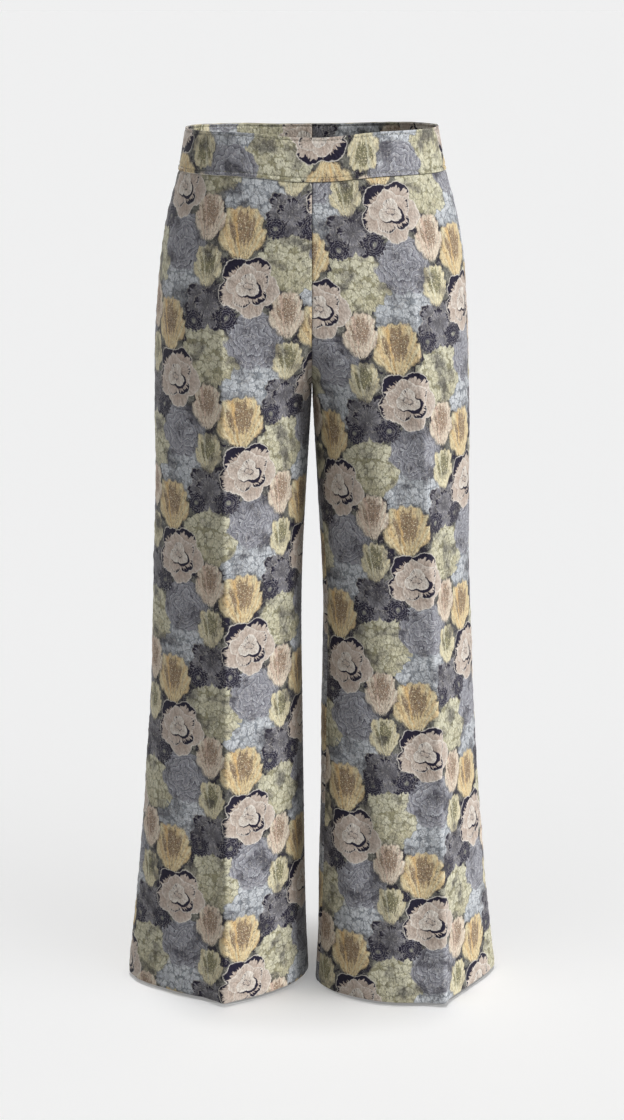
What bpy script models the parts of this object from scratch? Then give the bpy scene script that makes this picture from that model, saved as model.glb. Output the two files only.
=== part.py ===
"""Wide, straight-legged trousers held open in the shape of a wearer: four leg panels, a shaped
waistband and the facing inside it, all of the same cloth. Metres, +Z up, front towards -Y, and the
origin at the middle of the waist opening, level with its sides."""

from collections import namedtuple

import bmesh
import bpy
import numpy as np

CLOTH = 0.0015          # thickness of one layer of the cloth
SEAM_GAP = 0.0003       # clearance between two pieces at a seam
OUTSEAM = 1.040         # side of the waist down to the hem
CROTCH_Z = -0.308       # where the four leg panels meet
BAND_DEPTH = 0.048      # finished depth of the waistband
HEM_TURN = 0.040        # cloth turned up inside at the hem
BAND_BULK = 0.0006      # how far the waistband stands proud of the leg panels

FRONT_DIP = 0.0055      # how far the waistband drops to its point at the centre front
BACK_DIP = 0.0040       # and in a flatter curve at the centre back
FRONT_DIP_POWER = 12
DIP_FADE = (-0.050, -0.160)         # heights between which the drop dies away

FRONT_RISE_Z = -0.200   # where the centre-front seam starts to turn under
BACK_RISE_Z = -0.150    # and the centre-back seam
RISE_POWER = 0.75       # under 1 rounds the bottom of the crotch curve
LEAST_REACH = 0.02
HIP_TO_LEG = (-0.120, CROTCH_Z)     # heights between which the oval of the hips parts into legs
TURN_LENGTH = 0.200     # below the crotch, the length over which a turned crease takes its seams along
OVAL_POWER = 0.87       # under 1 squares the oval of the hips a little
SEAM_FORWARD = 0.15     # radians the left side seam swings forward over the hip
SEAM_FORWARD_Z = (-0.010, -0.120, -0.330)   # where that starts, is fullest and ends
SIDE_TURN = 0.3         # share of that turn that reaches the side seam
WAIST_TILT = 0.0010     # how much higher the left end of the waist sits, and lower the right
# Share of the pressing on the inner and outer front of each leg: +1 the wearer's left, -1 the right.
INNER_PRESS = {1: 0.25, -1: 0.5}
OUTER_PRESS = {1: 1.5, -1: 1.0}

PANEL_STEPS = 12        # facets across one leg panel
BAND_ROWS = 3
MITRE_LIMIT = 1.6       # longest a seam's mitre may be, in thicknesses of cloth
SHARP_ANGLE = np.radians(50)
SAME_HEIGHT = 1e-6

# Half of the body at each height: how far the leg starts from the centre line and ends at the side,
# how deep it is in front and behind, how sharply it is pressed, and where the crease of each leg runs.
Section = namedtuple("Section", "z inner outer front back press crease_right crease_left")
SECTIONS = (
    Section(+0.012, 0.0002, 0.1390, 0.095, 0.096, 0.00, 0.086, 0.088),
    Section(0.0000, 0.0002, 0.1420, 0.097, 0.098, 0.00, 0.087, 0.090),
    Section(-0.048, 0.0002, 0.1510, 0.102, 0.106, 0.00, 0.091, 0.095),
    Section(-0.085, 0.0002, 0.1615, 0.105, 0.113, 0.00, 0.094, 0.100),
    Section(-0.115, 0.0002, 0.1685, 0.107, 0.119, 0.02, 0.096, 0.105),
    Section(-0.150, 0.0002, 0.1745, 0.108, 0.122, 0.04, 0.098, 0.109),
    Section(-0.200, 0.0002, 0.1795, 0.108, 0.122, 0.07, 0.100, 0.115),
    Section(-0.255, 0.0002, 0.1825, 0.106, 0.116, 0.10, 0.100, 0.119),
    Section(-0.308, 0.0004, 0.1838, 0.103, 0.109, 0.14, 0.100, 0.123),
    Section(-0.345, 0.0024, 0.1844, 0.100, 0.105, 0.17, 0.100, 0.126),
    Section(-0.380, 0.0045, 0.1850, 0.097, 0.102, 0.20, 0.100, 0.128),
    Section(-0.440, 0.0080, 0.1863, 0.093, 0.097, 0.24, 0.100, 0.131),
    Section(-0.500, 0.0110, 0.1875, 0.090, 0.093, 0.27, 0.100, 0.134),
    Section(-0.560, 0.0125, 0.1895, 0.088, 0.090, 0.30, 0.100, 0.138),
    Section(-0.690, 0.0115, 0.1965, 0.087, 0.087, 0.36, 0.101, 0.145),
    Section(-0.815, 0.0100, 0.2060, 0.089, 0.090, 0.42, 0.102, 0.152),
    Section(-0.950, 0.0080, 0.2200, 0.093, 0.095, 0.48, 0.104, 0.157),
    Section(-1.040, 0.0050, 0.2293, 0.096, 0.098, 0.52, 0.107, 0.159),
)

# Heights of the rows of facets on a leg panel, closer at the crotch and at the top of the hem's turn-up.
HEM_TOP = HEM_TURN - OUTSEAM
PANEL_ROWS = (
    -BAND_DEPTH, -0.085, -0.115, -0.145, -0.175, -0.203, -0.230, -0.254, -0.275, -0.291, -0.302,
    CROTCH_Z, -0.318, -0.340, -0.375, -0.415, -0.460, -0.510, -0.565, -0.620, -0.675,
    -0.730, -0.785, -0.840, -0.895, -0.950, HEM_TOP, HEM_TOP - 0.001, -OUTSEAM,
)

CLOTH_COLOUR = (0.36, 0.36, 0.30, 1.0)
FACING_COLOUR = (0.30, 0.31, 0.30, 1.0)


def clear_scene():
    for thing in list(bpy.data.objects):
        bpy.data.objects.remove(thing)


def cloth_material(name, colour):
    """Woven cloth: no shine to speak of."""
    material = bpy.data.materials.new(name)
    material.use_nodes = True
    shader = material.node_tree.nodes["Principled BSDF"]
    shader.inputs["Base Color"].default_value = colour
    shader.inputs["Roughness"].default_value = 0.8
    shader.inputs["Metallic"].default_value = 0.0
    return material


def smooth_step(x):
    x = np.clip(x, 0.0, 1.0)
    return x * x * (3 - 2 * x)


def column(name, z):
    """One column of SECTIONS at the heights z, on a smooth curve through its rows."""
    knots = np.array([-row.z for row in SECTIONS])
    values = np.array([getattr(row, name) for row in SECTIONS])
    slopes = np.gradient(values, knots)
    at = np.clip(-np.asarray(z, float), knots[0], knots[-1])
    i = np.clip(np.searchsorted(knots, at, side="right") - 1, 0, len(knots) - 2)
    step = knots[i + 1] - knots[i]
    u = (at - knots[i]) / step
    return (
        (2 * u**3 - 3 * u**2 + 1) * values[i]
        + (u**3 - 2 * u**2 + u) * step * slopes[i]
        + (3 * u**2 - 2 * u**3) * values[i + 1]
        + (u**3 - u**2) * step * slopes[i + 1]
    )


def reach(z, start):
    """How far the rise seam has turned from the front or back, almost 0, to the crotch, 1."""
    down = np.clip((start - z) / (start - CROTCH_Z), LEAST_REACH, 1.0)
    return np.sqrt(1 - (1 - down**2) ** (2 * RISE_POWER))


def hip_ring(t, z, crease_x, side):
    """Half an oval round the hips. t runs 0 centre front, .25 front crease, .5 side seam, .75 back crease,
    1 centre back."""
    outer = column("outer", z)
    crease = np.arcsin((crease_x / outer) ** (1 / OVAL_POWER))
    start, fullest, end = SEAM_FORWARD_Z
    swing = smooth_step((start - z) / (start - fullest)) * smooth_step((z - end) / (fullest - end))
    seam = np.pi / 2 - SEAM_FORWARD * swing * (side > 0)
    angle = np.where(t < 0.25, crease * t * 4, crease + (seam - crease) * (t * 4 - 1))
    behind = np.where(t < 0.75, seam + (np.pi - crease - seam) * (t * 4 - 2), np.pi - crease * (1 - t) * 4)
    angle = np.where(t < 0.5, angle, behind)
    depth = np.where(angle < np.pi / 2, column("front", z), column("back", z))
    x = outer * np.abs(np.sin(angle)) ** OVAL_POWER
    y = -depth * np.sign(np.cos(angle)) * np.abs(np.cos(angle)) ** OVAL_POWER
    return x, y


def quarter(q, crease, seam, press, cut):
    """Unit points from a crease, q = 0, to the seam beside it, 1: an arc between the two angles, pulled
    towards its chord by press. An arc cut short by the centre line, cut < 1, is stretched back to it."""
    angle = crease + (seam - crease) * q
    x, y = np.sin(angle), -np.cos(angle)
    first, last = np.sin(crease), np.sin(seam)
    full = np.where(cut < 1, -1.0, last)
    x = full + (x - last) * (first - full) / (first - last)
    share = np.sin(np.pi / 2 * q)
    chord_x = first + (full - first) * share
    chord_y = -np.cos(crease) + (np.cos(crease) - np.cos(seam)) * share
    return (1 - press) * x + press * chord_x, (1 - press) * y + press * chord_y


def leg_ring(t, z, crease_x, side):
    """A leg's loop, from the inseam round the front, the side and the back to the inseam again, with a
    pressed crease in front and behind. Above the crotch its two ends stop at the centre line."""
    inner, outer = column("inner", z), column("outer", z)
    middle, half = (inner + outer) / 2, (outer - inner) / 2
    front_turn = np.arcsin((crease_x - middle) / half)
    turn = front_turn * smooth_step((CROTCH_Z - z) / TURN_LENGTH)
    press = column("press", z)
    right_angle = np.pi / 2
    cut_front, cut_back = reach(z, FRONT_RISE_Z), reach(z, BACK_RISE_Z)
    parts = (
        quarter(1 - t * 4, front_turn, turn - np.arcsin(cut_front), press * INNER_PRESS[side], cut_front),
        quarter(t * 4 - 1, front_turn, turn * SIDE_TURN + right_angle, press * OUTER_PRESS[side], 1.0),
        quarter(3 - t * 4, turn + np.pi, turn * SIDE_TURN + right_angle, press, 1.0),
        quarter(t * 4 - 3, turn + np.pi, turn + np.pi + np.arcsin(cut_back), press, cut_back),
    )
    which = [t < 0.25, t < 0.5, t < 0.75]
    x = np.select(which, [part[0] for part in parts[:3]], parts[3][0])
    y = np.select(which, [part[1] for part in parts[:3]], parts[3][1])
    x = np.where(x > 0, x / x.max(axis=1, keepdims=True), x / -x.min(axis=1, keepdims=True))
    depth = np.where(y < 0, column("front", z), column("back", z))
    return middle + half * x, depth * y / np.cos(turn)


def surface(t, z, side):
    """Points on the outside of the cloth at the rows z and the shares t round one half, before the right
    half is mirrored. side is +1 for the wearer's left and -1 for the right."""
    t, z = np.meshgrid(t, z)
    z = z[:, :1]
    crease_x = column("crease_left" if side > 0 else "crease_right", z)
    hip_x, hip_y = hip_ring(t, z, crease_x, side)
    leg_x, leg_y = leg_ring(t, z, crease_x, side)
    share = smooth_step((HIP_TO_LEG[0] - z) / (HIP_TO_LEG[0] - HIP_TO_LEG[1]))
    x = (1 - share) * hip_x + share * leg_x
    y = (1 - share) * hip_y + share * leg_y
    facing = np.cos(np.pi * t)
    dip = np.where(facing > 0, FRONT_DIP * np.abs(facing) ** FRONT_DIP_POWER, BACK_DIP * facing**2)
    dip = dip * smooth_step((z - DIP_FADE[1]) / (DIP_FADE[0] - DIP_FADE[1]))
    tilt = side * WAIST_TILT * x / column("outer", z) * smooth_step(1 + z / BAND_DEPTH)
    return np.stack([x, y, z - dip + tilt], axis=-1)


def normals(points, z):
    """Outward normals of a half's grid, before it is mirrored."""
    across = np.gradient(points, axis=1)
    down = np.gradient(points, axis=0)
    below = z[:, None] < CROTCH_Z - SAME_HEIGHT
    joined = points[:, 1] - points[:, -2]
    for end in (0, -1):
        across[:, end] = np.where(below, joined, across[:, end])
    found = np.cross(down, across)
    return found / np.linalg.norm(found, axis=-1, keepdims=True)


def mitred(normal, z):
    """The normals, with those along the rise seams turned into the centre plane, and lengthened as a mitre
    is so that the cloth keeps its thickness there."""
    mitre = normal.copy()
    above = z[:, None] > CROTCH_Z + SAME_HEIGHT
    at_crotch = np.abs(z[:, None] - CROTCH_Z) < SAME_HEIGHT
    for end in (0, -1):
        flat = normal[:, end] * (0, 1, 1)
        length = np.linalg.norm(flat, axis=-1, keepdims=True)
        turned = flat / length * np.minimum(1 / length, MITRE_LIMIT)
        mitre[:, end] = np.where(above, turned, mitre[:, end])
        mitre[:, end] = np.where(at_crotch, (0, 0, -1), mitre[:, end])
    return mitre


def half_grids(t, z, side, thickness, proud=0.0):
    """Outer and inner points of one half of the garment, its outside moved out by proud."""
    z = np.asarray(z, float)
    outer = surface(t, z, side)
    normal = mitred(normals(outer, z), z)
    thickness = np.broadcast_to(thickness, z.shape)[:, None, None]
    grids = []
    for grid in (outer + normal * proud, outer + normal * (proud - thickness)):
        grid[..., 0] = np.maximum(grid[..., 0], SEAM_GAP / 2)
        grids.append(grid * (side, 1, 1))
    return grids


def open_seams(grid, first=True, last=True):
    """The grid with its end columns drawn in by half the gap, so that two neighbours clear."""
    grid = grid.copy()
    for wanted, edge, next_in in ((first, 0, 1), (last, -1, -2)):
        if wanted:
            run = grid[:, next_in] - grid[:, edge]
            grid[:, edge] += run / np.linalg.norm(run, axis=-1, keepdims=True) * SEAM_GAP / 2
    return grid


def wall(name, outer, inner, material, flip):
    """A closed wall between two grids of points, shaded smooth but for its rims."""
    rows, columns = outer.shape[:2]
    mesh = bmesh.new()
    out, back = ([[mesh.verts.new(point) for point in row] for row in grid] for grid in (outer, inner))

    def face(*corners):
        mesh.faces.new(corners[::-1] if flip else corners)

    for i in range(rows - 1):
        for j in range(columns - 1):
            face(out[i][j], out[i + 1][j], out[i + 1][j + 1], out[i][j + 1])
            face(back[i][j], back[i][j + 1], back[i + 1][j + 1], back[i + 1][j])
        face(out[i][0], back[i][0], back[i + 1][0], out[i + 1][0])
        face(out[i][-1], out[i + 1][-1], back[i + 1][-1], back[i][-1])
    for j in range(columns - 1):
        face(out[0][j], out[0][j + 1], back[0][j + 1], back[0][j])
        face(out[-1][j], back[-1][j], back[-1][j + 1], out[-1][j + 1])
    data = bpy.data.meshes.new(name)
    mesh.to_mesh(data)
    mesh.free()
    data.materials.append(material)
    data.shade_smooth()
    data.set_sharp_from_angle(angle=SHARP_ANGLE)
    piece = bpy.data.objects.new(name, data)
    bpy.context.scene.collection.objects.link(piece)


def add_leg_panels(material):
    """Front and back of each leg, from the waistband seam to the hem, thicker where the hem is doubled."""
    z = np.array(PANEL_ROWS)
    thickness = np.where(z < HEM_TOP - SEAM_GAP, 2 * CLOTH, CLOTH)
    t = np.linspace(0, 1, 2 * PANEL_STEPS + 1)
    for side, word in ((1, "left"), (-1, "right")):
        outer, inner = half_grids(t, z, side, thickness)
        for part, columns in (
            ("front", slice(0, PANEL_STEPS + 1)),
            ("back", slice(PANEL_STEPS, None)),
        ):
            walls = [open_seams(grid[:, columns]) for grid in (outer, inner)]
            wall(f"{part}_{word}", *walls, material, flip=side < 0)


def add_waistband(material, front_name, back_name, proud):
    """A front in one piece from side to side, and two backs that meet at the centre back."""
    t = np.linspace(0, 1, 2 * PANEL_STEPS + 1)
    z = np.linspace(0, SEAM_GAP - BAND_DEPTH, BAND_ROWS)
    halves = {side: half_grids(t, z, side, CLOTH, proud) for side in (1, -1)}
    fronts = []
    for left, right in zip(halves[1], halves[-1]):
        half = left[:, : PANEL_STEPS + 1].copy()
        half[:, 0, 0] = 0.0
        fronts.append(open_seams(np.concatenate([right[:, PANEL_STEPS:0:-1], half], axis=1)))
    wall(front_name, *fronts, material, flip=False)
    for side, word in ((1, "left"), (-1, "right")):
        backs = [open_seams(grid[:, PANEL_STEPS:], last=False) for grid in halves[side]]
        wall(f"{back_name}_{word}", *backs, material, flip=side < 0)


def build():
    clear_scene()
    cloth = cloth_material("jacquard", CLOTH_COLOUR)
    facing = cloth_material("jacquard_facing", FACING_COLOUR)
    add_leg_panels(cloth)
    add_waistband(cloth, "waistband_front", "waistband_back", BAND_BULK)
    add_waistband(facing, "facing_front", "facing_back", BAND_BULK - CLOTH - SEAM_GAP)


build()
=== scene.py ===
"""Wide straight-legged trousers in flowered jacquard, filled out with no wearer.

The cloth shells, seams, hems and stitches are worked out from the garment's own sizes, in metres, with
+Z up, the front towards -Y and the origin at the middle of the waist opening. "Left" and "right" are the
wearer's.
"""

import logging
from dataclasses import dataclass
from enum import Enum
from typing import Callable, NamedTuple, Optional, Sequence, Union

import bpy
import numpy as np
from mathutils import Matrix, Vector


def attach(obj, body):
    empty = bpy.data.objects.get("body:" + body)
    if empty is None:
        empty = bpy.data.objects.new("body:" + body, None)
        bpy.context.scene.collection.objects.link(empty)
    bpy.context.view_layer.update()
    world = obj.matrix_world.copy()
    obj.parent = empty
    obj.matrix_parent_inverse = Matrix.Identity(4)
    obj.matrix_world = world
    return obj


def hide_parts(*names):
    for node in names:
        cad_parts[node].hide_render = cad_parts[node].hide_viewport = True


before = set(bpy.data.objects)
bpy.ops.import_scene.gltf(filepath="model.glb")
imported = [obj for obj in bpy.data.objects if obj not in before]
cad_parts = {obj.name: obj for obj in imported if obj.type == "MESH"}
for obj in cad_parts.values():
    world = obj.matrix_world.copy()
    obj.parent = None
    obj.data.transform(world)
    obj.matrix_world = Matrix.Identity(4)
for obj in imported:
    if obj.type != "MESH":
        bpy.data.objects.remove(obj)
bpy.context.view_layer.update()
LOG = logging.getLogger("trousers")
Grid = np.ndarray
Material = bpy.types.Material
Thing = bpy.types.Object
Colour = tuple[float, float, float, float]
Tones = tuple[Colour, ...]
Pair = tuple[float, float]
TAU = 2 * np.pi
TOUCH = 1e-6
ROW_GAP = 4e-5


# --- sizes


class Side(Enum):
    """The wearer's side; the value is the sign of X."""

    LEFT = 1
    RIGHT = -1

    def pick(self, pair: Sequence) -> object:
        """The left's or the right's of a pair that is in that order."""
        return pair[0 if self is Side.LEFT else 1]


class Part(Enum):
    """The front or the back of a half; the value is the share of the way round at which it is creased."""

    FRONT = 0.25
    BACK = 0.75


class Face(Enum):
    """The face of the waistband that shows; the value is the normal's sign."""

    OUTSIDE = 1
    INSIDE = -1


class Section(NamedTuple):
    """Half of the body at one height: where it starts from the centre line and ends at the side, how deep
    it is in front and behind, how sharply it is pressed, and where each leg's crease runs."""

    z: float
    inner: float
    outer: float
    front: float
    back: float
    press: float
    crease_right: float
    crease_left: float


SECTIONS = (
    Section(+0.012, 0.0002, 0.1390, 0.095, 0.096, 0.00, 0.086, 0.088),
    Section(0.0000, 0.0002, 0.1420, 0.097, 0.098, 0.00, 0.087, 0.090),
    Section(-0.048, 0.0002, 0.1510, 0.102, 0.106, 0.00, 0.091, 0.095),
    Section(-0.085, 0.0002, 0.1615, 0.105, 0.113, 0.00, 0.094, 0.100),
    Section(-0.115, 0.0002, 0.1685, 0.107, 0.119, 0.02, 0.096, 0.105),
    Section(-0.150, 0.0002, 0.1745, 0.108, 0.122, 0.04, 0.098, 0.109),
    Section(-0.200, 0.0002, 0.1795, 0.108, 0.122, 0.07, 0.100, 0.115),
    Section(-0.255, 0.0002, 0.1825, 0.106, 0.116, 0.10, 0.100, 0.119),
    Section(-0.308, 0.0004, 0.1838, 0.103, 0.109, 0.14, 0.100, 0.123),
    Section(-0.345, 0.0024, 0.1844, 0.100, 0.105, 0.17, 0.100, 0.126),
    Section(-0.380, 0.0045, 0.1850, 0.097, 0.102, 0.20, 0.100, 0.128),
    Section(-0.440, 0.0080, 0.1863, 0.093, 0.097, 0.24, 0.100, 0.131),
    Section(-0.500, 0.0110, 0.1875, 0.090, 0.093, 0.27, 0.100, 0.134),
    Section(-0.560, 0.0125, 0.1895, 0.088, 0.090, 0.30, 0.100, 0.138),
    Section(-0.690, 0.0115, 0.1965, 0.087, 0.087, 0.36, 0.101, 0.145),
    Section(-0.815, 0.0100, 0.2060, 0.089, 0.090, 0.42, 0.102, 0.152),
    Section(-0.950, 0.0080, 0.2200, 0.093, 0.095, 0.48, 0.104, 0.157),
    Section(-1.040, 0.0050, 0.2293, 0.096, 0.098, 0.52, 0.107, 0.159),
)


def fade(x: Grid, start: float, end: float) -> Grid:
    """From 0 where x is at start to 1 at end: three u squared less two u cubed, u being the share."""
    u = np.clip((x - start) / (end - start), 0.0, 1.0)
    return u * u * (3 - 2 * u)


def bump(x: Grid) -> Grid:
    """A bell of height 1 at x = 0: e to the power of minus x squared."""
    return np.exp(-x * x)


def unit(vectors: Grid) -> Grid:
    """The same directions, of length 1."""
    return vectors / np.linalg.norm(vectors, axis=-1, keepdims=True)


def run_lengths(points: Grid) -> Grid:
    """Length from the first point of each row to every point along it."""
    steps = np.linalg.norm(np.diff(points, axis=-2), axis=-1)
    return np.concatenate([np.zeros_like(steps[..., :1]), np.cumsum(steps, axis=-1)], axis=-1)


@dataclass(frozen=True)
class BodyForm:
    """The hollow form that the cloth keeps: an oval at the waist and hips that parts into two legs.

    A point is found from its height z and its share t of the way round one half of the garment: 0 is the
    centre front, .25 the front crease, .5 the side seam, .75 the back crease and 1 the centre back.
    """

    outseam: float = 1.040
    crotch_z: float = -0.308
    band_depth: float = 0.048
    front_dip: float = 0.0055
    back_dip: float = 0.0040
    front_dip_power: float = 12
    dip_fade: Pair = (-0.160, -0.050)
    rise_starts: Pair = (-0.200, -0.150)
    rise_power: float = 0.75
    least_reach: float = 0.02
    hips_part_z: float = -0.120
    turn_length: float = 0.200
    side_turn: float = 0.3
    oval_power: float = 0.87
    seam_forward: float = 0.15
    seam_forward_z: tuple[float, float, float] = (-0.010, -0.120, -0.330)
    waist_tilt: float = 0.0010
    inner_press: Pair = (0.25, 0.5)
    outer_press: Pair = (1.5, 1.0)
    half_gap: float = 0.00015
    fine_steps: int = 400
    mitre_limit: float = 1.6

    def column(self, name: str, z: Grid) -> Grid:
        """One column of SECTIONS, on a cubic curve whose slope at each row is the mean slope there.

        Args:
            name, z: The column, and heights.

        Returns:
            Its value at each height.
        """
        knots = np.array([-row.z for row in SECTIONS])
        values = np.array([getattr(row, name) for row in SECTIONS])
        slopes = np.gradient(values, knots)
        at = np.clip(-z, knots[0], knots[-1])
        i = np.clip(np.searchsorted(knots, at, side="right") - 1, 0, len(knots) - 2)
        step = knots[i + 1] - knots[i]
        u = (at - knots[i]) / step
        return (
            (2 * u**3 - 3 * u**2 + 1) * values[i]
            + (u**3 - 2 * u**2 + u) * step * slopes[i]
            + (3 * u**2 - 2 * u**3) * values[i + 1]
            + (u**3 - u**2) * step * slopes[i + 1]
        )

    def reach(self, z: Grid, start: float) -> Grid:
        """How far a rise seam has turned from start, almost 0, to the crotch, 1, on a quarter curve."""
        down = np.clip((start - z) / (start - self.crotch_z), self.least_reach, 1.0)
        return np.sqrt(1 - (1 - down**2) ** (2 * self.rise_power))

    def hip_ring(self, t: Grid, z: Grid, crease_x: Grid, side: Side) -> tuple[Grid, Grid]:
        """Half an oval: X is the half width times the sine, and Y the depth times the cosine, each to a
        power that squares it a little.

        Args:
            t, z, crease_x: Shares of the way round, heights of the rows, and X of the crease at each.
            side: The wearer's side.

        Returns:
            X and Y.
        """
        outer = self.column("outer", z)
        crease = np.arcsin((crease_x / outer) ** (1 / self.oval_power))
        start, fullest, end = self.seam_forward_z
        swing = fade(z, start, fullest) * fade(z, end, fullest)
        seam = np.pi / 2 - self.seam_forward * swing * (side is Side.LEFT)
        angle = np.select(
            [t < 0.25, t < 0.5, t < 0.75],
            [
                crease * t * 4,
                crease + (seam - crease) * (t * 4 - 1),
                seam + (np.pi - crease - seam) * (t * 4 - 2),
            ],
            np.pi - crease * (1 - t) * 4,
        )
        depth = np.where(angle < np.pi / 2, self.column("front", z), self.column("back", z))
        x = outer * np.abs(np.sin(angle)) ** self.oval_power
        return x, -depth * np.sign(np.cos(angle)) * np.abs(np.cos(angle)) ** self.oval_power

    def quarter(self, q: Grid, crease: Grid, seam: Grid, press: Grid, cut: Grid) -> tuple[Grid, Grid]:
        """Unit points from a crease to the seam beside it: an arc between the two angles, pulled towards
        its chord. An arc cut short by the centre line is stretched back to it.

        Args:
            q, crease, seam: Share of the way from the crease, and the two angles.
            press, cut: Share of the way from the arc to its chord, and below 1 where it is cut short.

        Returns:
            X and Y.
        """
        angle = crease + (seam - crease) * q
        first, last = np.sin(crease), np.sin(seam)
        full = np.where(cut < 1, -1.0, last)
        x = full + (np.sin(angle) - last) * (first - full) / (first - last)
        share = np.sin(np.pi / 2 * q)
        chord_x = first + (full - first) * share
        chord_y = -np.cos(crease) + (np.cos(crease) - np.cos(seam)) * share
        return (1 - press) * x + press * chord_x, (1 - press) * -np.cos(angle) + press * chord_y

    def leg_ring(self, t: Grid, z: Grid, crease_x: Grid, side: Side) -> tuple[Grid, Grid]:
        """A leg's loop of four quarters, from the inseam round the front, side and back to the inseam.
        Above the crotch its two ends stop at the centre line.

        Args:
            t, z, crease_x, side: As for hip_ring.

        Returns:
            X and Y.
        """
        inner, outer = self.column("inner", z), self.column("outer", z)
        middle, half = (inner + outer) / 2, (outer - inner) / 2
        front = np.arcsin((crease_x - middle) / half)
        turn = front * fade(z, self.crotch_z, self.crotch_z - self.turn_length)
        back, seam = turn + np.pi, turn * self.side_turn + np.pi / 2
        cut, cut_back = (self.reach(z, start) for start in self.rise_starts)
        press = self.column("press", z)
        parts = (
            self.quarter(1 - t * 4, front, turn - np.arcsin(cut), press * side.pick(self.inner_press), cut),
            self.quarter(t * 4 - 1, front, seam, press * side.pick(self.outer_press), 1.0),
            self.quarter(3 - t * 4, back, seam, press, 1.0),
            self.quarter(t * 4 - 3, back, back + np.arcsin(cut_back), press, cut_back),
        )
        regions = [t < 0.25, t < 0.5, t < 0.75]
        x, y = (np.select(regions, [part[k] for part in parts[:3]], parts[3][k]) for k in (0, 1))
        x = np.where(x > 0, x / x.max(axis=1, keepdims=True), x / -x.min(axis=1, keepdims=True))
        depth = np.where(y < 0, self.column("front", z), self.column("back", z))
        return middle + half * x, depth * y / np.cos(turn)

    def surface(self, t: Grid, z: Grid, side: Side) -> Grid:
        """The outside of the cloth, before a right half is mirrored. The oval of the hips blends into the
        legs below the height at which they part, and the waist dips in front and behind.

        Args:
            t, z, side: Shares of the way round, heights of the rows, and the wearer's side.

        Returns:
            Points, rows by columns by 3.
        """
        t, z = np.meshgrid(t, z)
        row, columns = z[:, :1], t.shape[1]
        # The leg's widest point is found on a fine ring, so that any stretch of t gives the same form.
        fine = np.broadcast_to(np.linspace(0, 1, self.fine_steps + 1), (len(z), self.fine_steps + 1))
        crease_x = self.column(f"crease_{side.name.lower()}", row)
        leg_x, leg_y = self.leg_ring(np.concatenate([t, fine], axis=1), row, crease_x, side)
        hip_x, hip_y = self.hip_ring(t, row, crease_x, side)
        share = fade(row, self.hips_part_z, self.crotch_z)
        x = (1 - share) * hip_x + share * leg_x[:, :columns]
        y = (1 - share) * hip_y + share * leg_y[:, :columns]
        facing = np.cos(np.pi * t)
        front = self.front_dip * np.abs(facing) ** self.front_dip_power
        dip = np.where(facing > 0, front, self.back_dip * facing**2) * fade(row, *self.dip_fade)
        tilt = side.value * self.waist_tilt * x / self.column("outer", row)
        return np.stack([x, y, row - dip + tilt * fade(row, -self.band_depth, 0.0)], axis=-1)

    def normals(self, points: Grid, z: Grid) -> Grid:
        """Outward normals of a whole half's grid, from the cross product of its two slopes.

        Below the crotch the two ends are the same seam and share one normal. Above it they are turned
        into the centre plane and lengthened as a mitre is.

        Args:
            points, z: The grid, and heights of its rows.

        Returns:
            A normal for each point.
        """
        across, down = np.gradient(points, axis=1), np.gradient(points, axis=0)
        above, below = z[:, None] > self.crotch_z + TOUCH, z[:, None] < self.crotch_z - TOUCH
        for end in (0, -1):
            across[:, end] = np.where(below, points[:, 1] - points[:, -2], across[:, end])
        normal = unit(np.cross(down, across))
        for end in (0, -1):
            flat = normal[:, end] * (0, 1, 1)
            length = np.linalg.norm(flat, axis=-1, keepdims=True)
            mitre = flat / length * np.minimum(1 / length, self.mitre_limit)
            normal[:, end] = np.select([above, below], [mitre, normal[:, end]], (0.0, 0.0, -1.0))
        return normal


FORM = BodyForm()


@dataclass(frozen=True)
class Fold:
    """One soft fold between two places on a half of the garment.

    A place is the length round the half in metres, minus in front of the side seam, and the height. The
    section is a bell, and its height, minus for a trough, fades out at both ends over ease of its length.
    """

    start: Pair
    end: Pair
    half_width: float
    height: float
    ease: float = 0.35

    def lift(self, around: Grid, z: Grid, girth: Grid) -> Grid:
        """How far the fold raises the cloth.

        Args:
            around, z: Length round from the side seam, and height.
            girth: Length all round the leg at each row, or a large number where the half is open.

        Returns:
            Its height times the bell of the distance across, times a taper along it.
        """
        (a0, z0), (a1, z1) = self.start, self.end
        da, dz = a1 - a0, z1 - z0
        length = np.hypot(da, dz)
        from_start = around - a0 - da / 2
        from_start = from_start - girth * np.round(from_start / girth) + da / 2
        along = (from_start * da + (z - z0) * dz) / length**2
        across = (from_start * dz - (z - z0) * da) / length
        taper = fade(along, 0, self.ease) * fade(1 - along, 0, self.ease)
        return self.height * bump(across / self.half_width) * taper


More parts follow.
